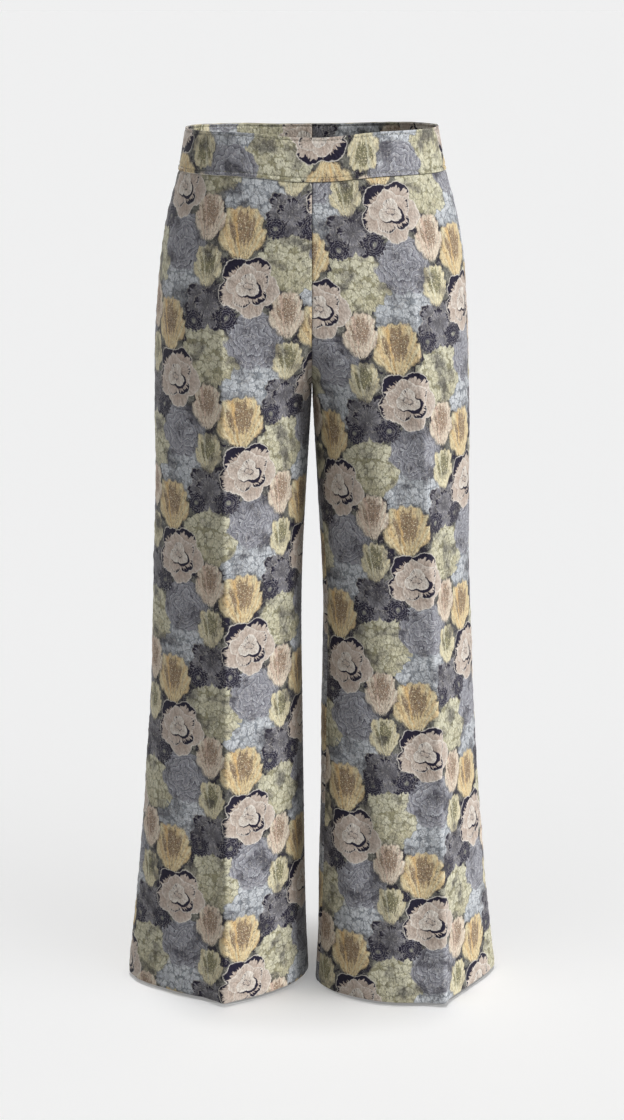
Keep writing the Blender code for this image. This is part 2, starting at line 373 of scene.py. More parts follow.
FOLDS = {
    Side.LEFT: (
        Fold((-0.265, -0.560), (-0.225, -1.060), 0.016, 0.0042),
        Fold((-0.225, -0.640), (-0.190, -1.060), 0.012, -0.0030),
        Fold((-0.215, -0.230), (-0.262, -0.420), 0.009, -0.0020),
        Fold((-0.160, -0.265), (-0.240, -0.345), 0.007, 0.0014),
        Fold((-0.055, -0.300), (-0.040, -0.700), 0.020, -0.0016),
        Fold((0.240, -0.330), (0.150, -0.470), 0.013, 0.0026),
        Fold((0.215, -0.300), (0.110, -0.390), 0.010, -0.0022),
        Fold((0.060, -0.620), (0.075, -1.060), 0.018, -0.0028),
    ),
    Side.RIGHT: (
        Fold((-0.200, -0.225), (-0.250, -0.400), 0.009, -0.0020),
        Fold((-0.150, -0.285), (-0.235, -0.350), 0.007, 0.0013),
        Fold((-0.235, -0.600), (-0.215, -1.060), 0.017, -0.0024),
        Fold((-0.060, -0.480), (-0.070, -1.060), 0.020, 0.0018),
        Fold((0.235, -0.320), (0.160, -0.430), 0.012, 0.0024),
        Fold((0.205, -0.310), (0.095, -0.405), 0.011, -0.0020),
        Fold((0.050, -0.700), (0.085, -1.060), 0.016, -0.0026),
    ),
}


class Wave(NamedTuple):
    """One low wave in the cloth: its height, its lengths round and down in metres, and its start."""

    height: float
    round: float
    down: float
    start: float


WAVES = (
    Wave(0.00055, 0.117, 0.610, 0.3),
    Wave(0.00045, -0.171, 0.240, 1.9),
    Wave(0.00030, 0.071, -0.330, 4.1),
    Wave(0.00022, -0.058, -0.127, 0.9),
    Wave(0.00014, 0.033, 0.083, 2.7),
    Wave(0.00016, 0.0213, 0.0340, 1.1),
    Wave(0.00015, -0.0268, 0.0205, 3.3),
    Wave(0.00014, 0.0182, -0.0470, 5.2),
    Wave(0.00013, 0.0610, 0.0187, 0.2),
    Wave(0.00011, -0.0158, -0.0300, 2.0),
)
PUCKERS = (
    Wave(0.00016, 0.0093, np.inf, 0.4),
    Wave(0.00012, 0.0061, np.inf, 2.2),
    Wave(0.00010, 0.0147, np.inf, 5.0),
)


def ripple(waves: Sequence[Wave], around: Grid, z: Union[Grid, float] = 0.0, shift: float = 1.0) -> Grid:
    """The sum of waves, each its height times the cosine of its turns, from its start times shift."""
    return sum(w.height * np.cos(TAU * (around / w.round + z / w.down) + w.start * shift) for w in waves)


class Crease(NamedTuple):
    """A pressed crease: the ridge's height and half width, and the hollow beside it, which lies hollow_off
    away, plus towards the centre back."""

    share: float
    ridge: float
    width: float
    hollow: float
    hollow_off: float
    hollow_width: float


CREASES = {
    Side.LEFT: (
        Crease(0.25, 0.0052, 0.012, 0.0045, -0.028, 0.018),
        Crease(0.75, 0.0036, 0.013, 0.0025, 0.030, 0.020),
    ),
    Side.RIGHT: (
        Crease(0.25, 0.0042, 0.013, 0.0022, 0.030, 0.018),
        Crease(0.75, 0.0036, 0.013, 0.0025, 0.028, 0.020),
    ),
}


@dataclass(frozen=True)
class Relief:
    """How the worn cloth departs from its plain form, in metres."""

    wave_shift: float = 0.4
    open_girth: float = 100.0
    crease_top: float = -0.075
    crease_full: float = -0.360
    seam_round: float = 0.0008
    seam_width: float = 0.0012
    seam_calm: float = 0.022
    pucker_reach: float = 0.0065
    valley_depth: float = 0.0075
    valley_z: tuple[float, float, float] = (0.100, 0.040, -0.006)
    valley_widths: Pair = (0.0115, 0.0065)

    def puckers(self, along: Grid, distance: Grid) -> Grid:
        """Small gathers beside a line of stitches: PUCKERS along it, times a bell of the distance."""
        return ripple(PUCKERS, along) * bump(distance / self.pucker_reach)

    def groove(self, distance: Grid) -> Grid:
        """How far an edge rolls under at a seam, from seam_round on it to nothing 2 mm away."""
        return self.seam_round * bump(distance / self.seam_width)

    def crease(self, crease: Crease, distance: Grid, z: Grid) -> Grid:
        """A pressed crease: its ridge, which is its height times e to the power of minus the distance in
        widths, so that it comes to an edge, less the bell of its hollow. Both fade in down the leg.

        Args:
            crease, distance, z: The crease, distance from it, plus towards the centre back, and height.

        Returns:
            How far it raises the cloth.
        """
        share = fade(z, self.crease_top, self.crease_full)
        ridge = crease.ridge * np.exp(-np.abs(distance) / crease.width)
        hollow = crease.hollow * bump((distance - crease.hollow_off) / crease.hollow_width)
        return share * (ridge - hollow)

    def valley(self, distance: Grid, z: Grid, side: Side) -> Grid:
        """The soft hollow where the thighs meet above the fork: its depth times a bell of the distance from
        the centre front. It grows down to its full depth and closes again just above the fork.

        Args:
            distance, z, side: Distance from the centre front, height, and the wearer's side.

        Returns:
            How far it sinks the cloth.
        """
        top, full, end = self.valley_z
        share = fade(z - FORM.crotch_z, top, full) * fade(z - FORM.crotch_z, end, full)
        return self.valley_depth * share * bump(distance / side.pick(self.valley_widths))


RELIEF = Relief()


# Where each piece is cut from the pattern, in metres.
CUT_AT = {
    "front_left": (0.012, 0.036),
    "front_right": (-0.031, 0.118),
    "back_left": (0.040, 0.083),
    "back_right": (-0.006, 0.021),
    "waistband_front": (0.006, 0.214),
    "waistband_back_left": (0.050, 0.060),
    "waistband_back_right": (0.008, 0.185),
    "facing_front": (0.030, 0.030),
    "facing_back_left": (0.047, 0.100),
    "facing_back_right": (-0.012, 0.020),
}


class Half:
    """One side of the garment as a grid of rows z and shares t, with its lengths round and down."""

    def __init__(self, side: Side, t: Grid, z: Grid) -> None:
        """Works out the plain form on the grid.

        Args:
            side, z: The wearer's side, and heights of the rows, from the top down.
            t: Shares of the way round, from the centre front to the centre back, with .25, .5 and .75.
        """
        self.side, self.t, self.z = side, t, z
        self.plain = FORM.surface(t, z, side)
        self.normal = FORM.normals(self.plain, z)
        self.round = run_lengths(self.plain)
        self.height = np.broadcast_to(z[:, None], self.round.shape)

    def at(self, share: float) -> int:
        """The column nearest to a share of the way round."""
        return int(np.argmin(np.abs(self.t - share)))

    def columns(self, part: Part) -> slice:
        """The columns of the front or the back, the side seam's included."""
        return slice(0, self.at(0.5) + 1) if part is Part.FRONT else slice(self.at(0.5), len(self.t))

    def from_share(self, share: float) -> Grid:
        """Lengths round from the column at that share, plus towards the centre back."""
        return self.round - self.round[:, [self.at(share)]]

    def from_back(self) -> Grid:
        """Lengths round to the centre back."""
        return self.round[:, -1:] - self.round

    def down(self, share: float) -> Grid:
        """Length down the cloth from the first row, along the column at that share."""
        return run_lengths(self.plain[:, self.at(share)])

    def shape(self) -> Grid:
        """The folds and waves of the cloth, before any edge is rolled. They die away at the centre and
        inner-leg seams, so that the panels on both sides meet.

        Returns:
            How far each point is raised.
        """
        around = self.from_share(0.5)
        girth = np.where(self.z < FORM.crotch_z, self.round[:, -1], RELIEF.open_girth)[:, None]
        lift = ripple(WAVES, around, self.height, 1 + RELIEF.wave_shift * self.side.value)
        for fold in FOLDS[self.side]:
            lift = lift + fold.lift(around, self.height, girth)
        for distance in (self.round, self.from_back()):
            lift = lift * (1 - bump(distance / RELIEF.seam_calm))
        return lift

    def cut(self, name: str, share: float, crease: float, sign: int = 1) -> Grid:
        """Place of each point on the flat cloth.

        Args:
            name, sign: The piece whose cut it is, and 1, or -1 where its pattern stands on its head.
            share, crease: Shares of the way round from which it runs across, and along which it runs down.

        Returns:
            Metres across and up.
        """
        x, y = CUT_AT[name]
        across = sign * self.side.value * self.from_share(share) + x
        down = np.broadcast_to(self.down(crease)[:, None], across.shape)
        return np.stack([across, y - sign * down], axis=-1)

    def placed(self, offset: Grid) -> Grid:
        """Points at an offset from the plain form, on their own side of the centre line.

        Args:
            offset: The offset, outward.

        Returns:
            The points.
        """
        points = self.plain + self.normal * np.broadcast_to(offset, self.round.shape)[..., None]
        points[..., 0] = np.maximum(points[..., 0], FORM.half_gap) * self.side.value
        return points


# --- meshes


class Wall(NamedTuple):
    """A stretch of cloth as two grids of points, closed by a rim round its edge.

    With them go each point's place on the flat cloth, the numbers of the two faces' finishes, and whether
    the columns run the other way round the body.
    """

    outer: Grid
    inner: Grid
    cloth: Grid
    finishes: tuple[int, int]
    mirrored: bool

    def faces(self, column: float, width: float) -> tuple[Grid, Grid, Grid, Grid]:
        """The faces: the grid's on the outside, the same on the inside, and a strip along each edge.

        In the bake map both faces stand side by side above the four strips.

        Args:
            column, width: Left edge and width of this wall's share of the bake map.

        Returns:
            Each face's corners, its finish, and its corners' places on the cloth and in the bake map.
        """
        rows, columns = self.outer.shape[:2]
        count, sheet = rows * columns, width * BAKE.sheet
        number = np.arange(count).reshape(rows, columns)
        corners = (number[:-1, :-1], number[1:, :-1], number[1:, 1:], number[:-1, 1:])
        grid = np.stack(corners, axis=-1).reshape(-1, 4)
        back = grid[:, ::-1]
        flat = self.cloth.reshape(-1, 2)
        across, down = np.meshgrid(np.linspace(0, sheet, columns), np.linspace(*BAKE.sheet_rows, rows))
        spread = np.stack([across, down], axis=-1).reshape(-1, 2) + (column, 0)
        made = [(grid, 0, flat[grid], spread[grid])]
        made.append((back + count, 1, flat[back], spread[back] + (width / 2, 0)))
        for place, edge in enumerate((number[0, :], number[-1, ::-1], number[::-1, 0], number[:, -1])):
            first, second = edge[:-1], edge[1:]
            rim = np.stack([first, second, second + count, first + count], axis=-1)
            run = np.linspace(0, sheet, len(edge))
            x = np.stack([run[:-1], run[1:], run[1:], run[:-1]], axis=-1)
            low = BAKE.rim_start + place * BAKE.rim_pitch
            y = np.broadcast_to([low, low, low + BAKE.rim, low + BAKE.rim], x.shape)
            ends = np.stack([first, second, second, first], axis=-1)
            made.append((rim, 0, flat[ends], np.stack([x, y], axis=-1) + (column, 0)))
        finish = np.concatenate([np.full(len(part[0]), self.finishes[part[1]]) for part in made])
        order = slice(None, None, -1 if self.mirrored else 1)
        faces, cloth, bake = (np.concatenate([part[k] for part in made])[:, order] for k in (0, 2, 3))
        return faces, finish, cloth, bake


@dataclass(frozen=True)
class BakeMap:
    """How a piece's walls share the bake map, whose sides are 1: the width that they divide by their size
    and the width that they divide evenly, and within each the faces and the strips of the rim."""

    by_size: float = 0.96
    evenly: float = 0.03
    sheet: float = 0.48
    sheet_rows: Pair = (0.05, 0.99)
    rim_start: float = 0.004
    rim_pitch: float = 0.011
    rim: float = 0.006


BAKE = BakeMap()


def make_object(
    name: str,
    points: Grid,
    faces: Grid,
    finishes: Sequence[Material],
    finish: Union[Grid, int] = 0,
    maps: Optional[dict[str, Grid]] = None,
) -> Thing:
    """Puts points and faces into a smooth-shaded mesh.

    Args:
        name: Name of the object and its mesh.
        points, faces: Points, N by 3, and corner numbers, M by 3 or 4.
        finishes, finish: Materials, and each face's material number, or one for all.
        maps: UV maps by name, each M by corners by 2.

    Returns:
        The new object, linked to the scene.
    """
    mesh = bpy.data.meshes.new(name)
    count, corners = faces.shape
    for data, number, key, values in (
        (mesh.vertices, len(points), "co", points.astype(np.float32)),
        (mesh.loops, faces.size, "vertex_index", faces.astype(np.int32)),
        (mesh.polygons, count, "loop_start", np.arange(0, faces.size, corners, dtype=np.int32)),
    ):
        data.add(number)
        data.foreach_set(key, values.ravel())
    mesh.polygons.foreach_set("loop_total", np.full(count, corners, dtype=np.int32))
    for material in finishes:
        mesh.materials.append(material)
    mesh.polygons.foreach_set("material_index", np.broadcast_to(finish, count).astype(np.int32))
    for title, places in (maps or {}).items():
        mesh.uv_layers.new(name=title).data.foreach_set("uv", places.astype(np.float32).ravel())
    mesh.polygons.foreach_set("use_smooth", np.ones(count, dtype=bool))
    mesh.update(calc_edges=True)
    mesh.validate(clean_customdata=False)
    made = bpy.data.objects.new(name, mesh)
    bpy.context.scene.collection.objects.link(made)
    return made


def make_cloth(name: str, walls: Sequence[Wall], finishes: Sequence[Material]) -> Thing:
    """Makes a piece from walls of cloth, and hangs it in place of the CAD node of the same name.

    Args:
        name: The CAD node.
        walls: The walls.
        finishes: Materials, in the order of the walls' finish numbers.

    Returns:
        The piece.
    """
    areas = np.array([wall.outer[..., 0].size for wall in walls])
    widths = BAKE.evenly / len(areas) + BAKE.by_size * areas / areas.sum()
    starts = np.concatenate([[0.0], np.cumsum(widths)[:-1]])
    made = [wall.faces(column, width) for wall, column, width in zip(walls, starts, widths)]
    points = np.concatenate([grid.reshape(-1, 3) for wall in walls for grid in (wall.outer, wall.inner)])
    bases = np.concatenate([[0], np.cumsum(2 * areas)[:-1]])
    faces = np.concatenate([part[0] + base for part, base in zip(made, bases)])
    finish, cloth, bake = (np.concatenate([part[k] for part in made]) for k in (1, 2, 3))
    title = f"{name}_cloth" if name.startswith(("waistband", "facing")) else f"leg_{name}"
    maps = {"cloth": cloth, "OFBake": bake}
    piece = hang(make_object(title, points, faces, finishes, finish, maps))
    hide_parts(name)
    return piece


def hang(piece: Thing) -> Thing:
    """Rides a finished piece on the garment's one body."""
    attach(piece, "root")
    return piece


# --- pieces


def rows_between(top: float, bottom: float, step: float, extra: Sequence[float]) -> Grid:
    """Heights from the top down at an even step, with closer ones added, none within ROW_GAP of another.

    Args:
        top, bottom, step: The first and last heights, and the even step.
        extra: The heights to add.

    Returns:
        The heights.
    """
    even = np.linspace(top, bottom, int(round((top - bottom) / step)) + 1)
    rows = np.sort(np.concatenate([even, np.array(extra, float)]))[::-1]
    keep = np.concatenate([[True], np.abs(np.diff(rows)) > ROW_GAP])
    keep[-1] = True
    return rows[keep]


def shares_round(steps: int = 38, gather: float = 0.6) -> Grid:
    """Shares of the way round a half, closer beside the seams and creases, and closest at the seams.

    Args:
        steps: Steps in each quarter.
        gather: How far they draw together: a step at q is at q less gather times sin(2 pi q) over 2 pi.

    Returns:
        The shares.
    """
    q = np.linspace(0, 1, steps + 1)[:-1]
    q = q - gather * np.sin(TAU * q) / TAU
    quarters = np.concatenate([(q + k) / 4 for k in range(4)] + [[1.0]])
    beside = np.array([0.0008, 0.0017])
    return np.unique(np.concatenate([quarters, beside, 0.5 - beside, 0.5 + beside, 1 - beside]))


def rolled(distance: Grid, thickness: float) -> Grid:
    """How far a face draws in at a rolled edge: the radius less the height of a quarter circle."""
    radius = thickness / 2
    return radius - np.sqrt(radius**2 - np.clip(radius - distance, 0.0, radius) ** 2)


def opened(grid: Grid, first: bool = True, last: bool = True) -> Grid:
    """The grid with its end columns drawn in by half the gap between neighbours.

    Args:
        grid: Points, rows by columns by 3.
        first, last: Whether the first column is drawn in, and the last.

    Returns:
        The new grid.
    """
    grid = grid.copy()
    for wanted, edge, inward in ((first, 0, 1), (last, -1, -2)):
        if wanted:
            grid[:, edge] += unit(grid[:, inward] - grid[:, edge]) * FORM.half_gap
    return grid


@dataclass(frozen=True)
class LegPanels:
    """The four leg panels, from the waistband seam to the turned-up hem, with their pressed-open seams.

    The seam allowances are measured on the row that is a measured share of the way down the rows.
    """

    cloth: float = 0.0012
    hem_depth: float = 0.040
    hem_cloth: float = 0.0027
    hem_show: float = 0.0004
    hem_ease: float = 0.008
    hem_step: float = 0.0008
    hem_tuck: float = 0.001
    line_sink: float = 0.00025
    line_width: float = 0.0016
    allowance: float = 0.012
    allowance_cloth: float = 0.0008
    layer_gap: float = 0.0003
    measured: float = 1 / 3
    front_start: float = 0.004
    back_start: float = 0.007
    waist_gather: float = 0.8
    row_step: float = 0.0038
    near_edge: tuple[float, ...] = (0.0003, 0.0007, 0.0012, 0.0019, 0.0030)
    near_crotch: tuple[float, ...] = (0.006, 0.004, 0.0028, 0.0018, 0.001, 0, -0.001, -0.002, -0.0035)
    near_hem: tuple[float, ...] = (0.0005, 0, -0.0005)

    def rows(self) -> Grid:
        """Heights of the rows: even, and closer at the seam, the crotch, the hem's top and its edge.

        Returns:
            The heights, from the top down.
        """
        top, bottom, hem = -FORM.band_depth, -FORM.outseam, self.hem_depth - FORM.outseam
        marks = ((top, self.near_edge, -1), (bottom, self.near_edge, 1))
        marks += ((FORM.crotch_z, self.near_crotch, 1), (hem, self.near_hem, 1))
        extra = [mark + sign * near for mark, nears, sign in marks for near in nears]
        return rows_between(top, bottom, self.row_step, extra)

    def offsets(self, half: Half) -> tuple[Grid, Grid]:
        """The outside's and the inside's distance from the plain form.

        Both follow the folds, the pressed creases and the small gathers beside the seams. The outside rolls
        under at every seam, and the hem is thicker from its top down and rolls round at its edge.

        Args:
            half: The half that the panels are on.

        Returns:
            Both distances.
        """
        shape, down = half.shape(), -half.height
        for crease in CREASES[half.side]:
            shape = shape + RELIEF.crease(crease, half.from_share(crease.share), half.height)
        side, front, back = half.from_share(0.5), half.round, half.from_back()
        top = down - FORM.band_depth
        shape = shape + RELIEF.puckers(down, side) + RELIEF.puckers(down + self.front_start, front)
        shape = shape + RELIEF.puckers(down + self.back_start, back)
        shape = shape + RELIEF.puckers(half.round, top) * self.waist_gather
        shape = shape - RELIEF.valley(front, half.height, half.side)
        below = self.hem_depth - FORM.outseam - half.height
        doubled = fade(below, -self.hem_step / 2, self.hem_step / 2)
        roll = rolled(half.height + FORM.outseam, self.hem_cloth) * doubled
        outside = shape + self.hem_show * fade(below, -self.hem_ease / 2, self.hem_ease / 2) - roll
        outside = outside - self.line_sink * bump(below / self.line_width)
        for distance in (side, front, back, top):
            outside = outside - RELIEF.groove(distance)
        return outside, shape - self.cloth - (self.hem_cloth - self.cloth) * doubled + roll

    def strip(self, half: Half, columns: slice, inside: Grid, cloth: Grid, seam_first: bool) -> Wall:
        """One seam allowance, pressed flat on the inside of its panel. Its edge at the seam meets the next
        panel's, and on the centre line it comes to the middle.

        Args:
            half, columns: The half that it is on, and the columns that it lies over.
            inside, cloth: The panel's inside distance from the plain form, and place on the flat cloth.
            seam_first: Whether the seam is at the first of the columns.

        Returns:
            The allowance, down to the hem.
        """
        rows = half.z > self.hem_depth - FORM.outseam + self.hem_tuck
        grids = []
        for depth in (self.layer_gap, self.layer_gap + self.allowance_cloth):
            grid = half.placed(inside - depth)[rows][:, columns]
            on_line = np.abs(grid[..., 0]) < FORM.half_gap + TOUCH
            grid[..., 0] = np.where(on_line, 0.0, grid[..., 0])
            grids.append(opened(grid, first=not seam_first, last=seam_first))
        return Wall(*grids, cloth[rows][:, columns], (0, 1), half.side is Side.RIGHT)

    def panel(self, half: Half, part: Part, finishes: Sequence[Material]) -> Thing:
        """Makes one panel with its two seam allowances.

        Args:
            half, part: The half that it is on, and the front or the back.
            finishes: The cloth's face and its wrong side.

        Returns:
            The panel.
        """
        name = f"{part.name.lower()}_{half.side.name.lower()}"
        columns, cloth = half.columns(part), half.cut(name, part.value, part.value)
        outside, inside = self.offsets(half)
        grids = (opened(half.placed(offset)[:, columns]) for offset in (outside, inside))
        walls = [Wall(*grids, cloth[:, columns], (0, 1), half.side is Side.RIGHT)]
        mean = half.round[int(len(half.z) * self.measured)]
        first, last = mean[columns][0], mean[columns][-1]
        for low, high in ((first, first + self.allowance), (last - self.allowance, last)):
            start, stop = (int(np.searchsorted(mean, edge)) for edge in (low - TOUCH, high + TOUCH))
            walls.append(self.strip(half, slice(start, stop), inside, cloth, low == first))
        panel = make_cloth(name, walls, finishes)
        self.declare(panel, half, part)
        return panel

    def declare(self, panel: Thing, half: Half, part: Part) -> None:
        """Works out a panel's seam allowances, its length down the side seam and the width of each row of its
        columns, and keeps none of them.

        Args:
            panel: The panel, which is not used.
            half, part: The half that it is on, and the front or the back.
        """
        seams, run = 2 * self.allowance, half.down(0.5)
        widths = np.ptp(half.round[:, half.columns(part)], axis=1)

    def build(self, jacquard: Material, wrong: Material) -> list[Thing]:
        """Makes the four panels, of the cloth's face and its wrong side."""
        halves = [Half(side, shares_round(), self.rows()) for side in Side]
        return [self.panel(half, part, (jacquard, wrong)) for half in halves for part in Part]


@dataclass(frozen=True)
class Thread:
    """The sewing thread: one stitch's length and thickness, and the pitch of the row.

    A stitch is rings round an arc: their places along it and their sizes, how far the arc dives in and
    its tips beyond that, and how proud of the cloth it lies, in thicknesses. Along the row the stitches
    wander and skew a little, by sines of their number.
    """

    pitch: float = 0.0033
    length: float = 0.0028
    thickness: float = 0.00062
    sides: int = 6
    rings: tuple[float, ...] = (-0.44, -0.25, 0.25, 0.44)
    sizes: tuple[float, ...] = (0.62, 1.0, 1.0, 0.62)
    dive: float = 0.9
    tip_dive: float = 1.1
    proud: float = 0.12
    wander: float = 0.00012
    wander_step: float = 2.4
    skew: float = 0.05
    skew_step: float = 1.7
    skew_start: float = 0.4

    def one(self) -> tuple[Grid, Grid]:
        """One stitch along +X with +Z out of the cloth: rings round an arc that dives in at both ends,
        where a point closes it.

        Returns:
            Its points and its faces.
        """
        sides, last = self.sides, len(self.rings) - 1
        turn = np.tile(np.linspace(0, TAU, sides, endpoint=False), len(self.rings))
        along, size = np.repeat(self.rings, sides), np.repeat(self.sizes, sides)
        radius = size * self.thickness / 2
        dive = -self.thickness * self.dive * (2 * np.abs(along)) ** 3
        rings = np.stack([along * self.length, np.cos(turn) * radius, np.sin(turn) * radius + dive], axis=-1)
        tips = [(end * self.length / 2, 0.0, -self.thickness * self.tip_dive) for end in (-1, 1)]
        at = np.arange(sides)
        after = np.roll(at, -1)
        start, end = np.full(sides, len(rings)), np.full(sides, len(rings) + 1)
        faces = []
        for low in range(0, last * sides, sides):
            high = low + sides
            faces += [(low + at, low + after, high + after), (low + at, high + after, high + at)]
        faces += [(start, after, at), (last * sides + at, last * sides + after, end)]
        return np.concatenate([rings, tips]), np.concatenate([np.stack(face, axis=-1) for face in faces])

    def run(self, path: Grid, out: Grid) -> Grid:
        """Stitches laid end to end along a path.

        Args:
            path, out: Points of the path and directions out of the cloth there, N by 3.

        Returns:
            Points of all the stitches, stitches by points by 3.
        """
        length = run_lengths(path)
        order = np.arange(int(length[-1] / self.pitch))
        wander = self.wander * np.sin(order * self.wander_step)
        centre = (order + 0.5) * length[-1] / len(order) + wander

        def sample(values: Grid, at: Grid) -> Grid:
            """Values at lengths along the path, in a straight line between its points."""
            return np.stack([np.interp(at, length, values[:, k]) for k in range(3)], axis=-1)

        tangent = unit(sample(path, centre + self.pitch / 4) - sample(path, centre - self.pitch / 4))
        up = sample(out, centre)
        up = unit(up - tangent * np.sum(up * tangent, axis=-1, keepdims=True))
        across = np.cross(up, tangent)
        x, y, lift = (self.one()[0][None, :, k, None] for k in range(3))
        y = y + x * (self.skew * np.sin(order * self.skew_step + self.skew_start))[:, None, None]
        return sample(path, centre)[:, None] + x * tangent[:, None] + y * across[:, None] + lift * up[:, None]

    def sew(self, name: str, slot: str, runs: Sequence[Grid], finish: Material) -> Thing:
        """Makes one piece of several runs of stitches.

        Args:
            name, slot: The piece's name, and its material slot, which is not used.
            runs, finish: Points of the runs, and the thread's finish.

        Returns:
            The piece, hung.
        """
        placed, faces = np.concatenate(runs), self.one()[1]
        numbers = faces[None] + (np.arange(len(placed)) * placed.shape[1])[:, None, None]
        return hang(make_object(name, placed.reshape(-1, 3), numbers.reshape(-1, 3), (finish,)))


@dataclass(frozen=True)
class Waistband:
    """The shaped band: a front from side to side and two backs, which stand a little apart at their seams,
    and the rows of stitches that show on it."""

    name: str = "waistband"
    slot: str = "jacquard"
    face: Face = Face.OUTSIDE
    finishes: tuple[int, int] = (0, 1)
    gapped: bool = True
    top: float = 0.0
    cloth: float = 0.0012
    bulk: float = 0.0006
    seam_puff: float = 0.00055
    puff_ease: float = 0.002
    trough: float = 0.00080
    trough_width: float = 0.0011
    pull: float = 0.35
    pull_lengths: Pair = (0.0133, 0.0407)
    gather: float = 1.3
    stitch_rows: Pair = (0.0034, 0.0433)
    rows_shown: int = 2
    row_step: float = 0.0012
    near_edge: tuple[float, ...] = (0.0001, 0.0002, 0.0004, 0.0007, 0.0010)
    near_stitch: tuple[float, ...] = (-0.0006, -0.0003, 0.0, 0.0003, 0.0006)

    def rows(self) -> Grid:
        """Heights of the rows: even, and closer at both rolled edges and at the stitches.

        Returns:
            The heights, from the top down.
        """
        bottom = 2 * FORM.half_gap - FORM.band_depth
        extra = [edge for near in self.near_edge for edge in (self.top - near, bottom + near)]
        extra += [near - row for row in self.stitch_rows for near in self.near_stitch]
        return rows_between(self.top, bottom, self.row_step, extra)

    def stitched(self, half: Half) -> Grid:
        """The troughs that the rows of stitches pull into the cloth, and the small gathers beside them: a
        bell of the distance from each row, deeper and shallower by the product of two cosines.

        Args:
            half: The half that the pieces are on.

        Returns:
            How far the cloth is raised.
        """
        sunk = np.zeros_like(half.round)
        first, second = (np.cos(TAU * half.round / length) for length in self.pull_lengths)
        for drop in self.stitch_rows[: self.rows_shown]:
            distance = half.height + drop
            sunk -= self.trough * bump(distance / self.trough_width) * (1 + self.pull * first * second)
            sunk += RELIEF.puckers(half.round, distance) * self.gather
        return sunk

    def grooves(self, half: Half) -> Grid:
        """How far the cloth rolls under at the side and centre-back seams."""
        return RELIEF.groove(half.from_share(0.5)) + RELIEF.groove(half.from_back())

    def roll(self, half: Half) -> Grid:
        """How far both faces draw in at the top and bottom edges."""
        return rolled(self.top - half.height, self.cloth) + rolled(half.height - half.z[-1], self.cloth)

    def offsets(self, half: Half) -> tuple[Grid, Grid]:
        """The outside's and the inside's distance from the plain form. The band is puffed below the lower
        stitches, where the seam's edges lie inside it.

        Args:
            half: The half that the pieces are on.

        Returns:
            Both distances.
        """
        shape, roll = half.shape() + self.bulk, self.roll(half)
        puff = self.seam_puff * fade(-self.stitch_rows[1] - half.height, 0, self.puff_ease)
        outside = shape + puff + self.stitched(half) - self.grooves(half)
        return outside - roll, shape - self.cloth + roll

    def grids(self, half: Half, name: str) -> list[Grid]:
        """Both faces' points, and their places on the flat cloth, whose pattern stands on its head on the
        band and is upright on the facing.

        Args:
            half, name: The half, and the piece whose cut it is.

        Returns:
            The three grids.
        """
        share = 0.0 if name.endswith("front") else 1.0
        place = half.cut(name, share, Part.FRONT.value, -self.face.value)
        return [half.placed(offset) for offset in self.offsets(half)] + [place]

    def front(self, halves: Sequence[Half]) -> Wall:
        """The front, from the right side seam round to the left, its middle on the centre line.

        Args:
            halves: The left half and the right.

        Returns:
            Its wall.
        """
        left, right = (self.grids(half, f"{self.name}_front") for half in halves)
        columns, joined = halves[0].columns(Part.FRONT), []
        for grid, other in zip(left, right):
            grid = grid[:, columns].copy()
            if grid.shape[-1] == 3:
                grid[:, 0, 0] = 0.0
            joined.append(np.concatenate([other[:, columns.stop - 1 : 0 : -1], grid], axis=1))
        faces = (opened(grid, self.gapped, self.gapped) for grid in joined[:2])
        return Wall(*faces, joined[2], self.finishes, False)

    def back(self, half: Half, name: str) -> Wall:
        """A back, from the side seam to the centre back, where the facing's pieces meet.

        Args:
            half, name: The half that it is on, and the CAD node that it replaces.

        Returns:
            Its wall.
        """
        outer, inner, place = (grid[:, half.columns(Part.BACK)] for grid in self.grids(half, name))
        outer, inner = opened(outer, self.gapped, False), opened(inner, self.gapped, False)
        if not self.gapped:
            outer[:, -1, 0] = inner[:, -1, 0] = 0.0
        return Wall(outer, inner, place, self.finishes, half.side is Side.RIGHT)

    def declare(self, piece: Thing, name: str, halves: Sequence[Half], part: Part) -> Thing:
        """Logs a piece's width, its widest row's summed over the halves that it spans, and its length down
        its side.

        Args:
            piece, name: The piece, and the CAD node that it replaces, which is not used.
            halves, part: The halves that it spans, and the front or the back.

        Returns:
            The piece.
        """
        width = sum(float(np.ptp(half.round[:, half.columns(part)], axis=1).max()) for half in halves)
        depth = float(halves[0].down(0.5)[-1])
        LOG.info("%s: %.3f by %.4f m", piece.name, width, depth)
        return piece

    def stitches(self, half: Half, part: Part, drop: float, thread: Thread) -> Grid:
        """One row of stitches over the front or the back of a half.

        Args:
            half, part: The half, and the front or the back.
            drop, thread: How far below the waist edge the row runs, and what it is sewn with.

        Returns:
            Points of its stitches.
        """
        level, columns = int(np.argmin(np.abs(half.z + drop))), half.columns(part)
        offset = self.offsets(half)[0 if self.face is Face.OUTSIDE else 1]
        path = half.placed(offset + thread.thickness * thread.proud * self.face.value)[level, columns]
        return thread.run(path, half.normal[level, columns] * (half.side.value, 1, 1) * self.face.value)

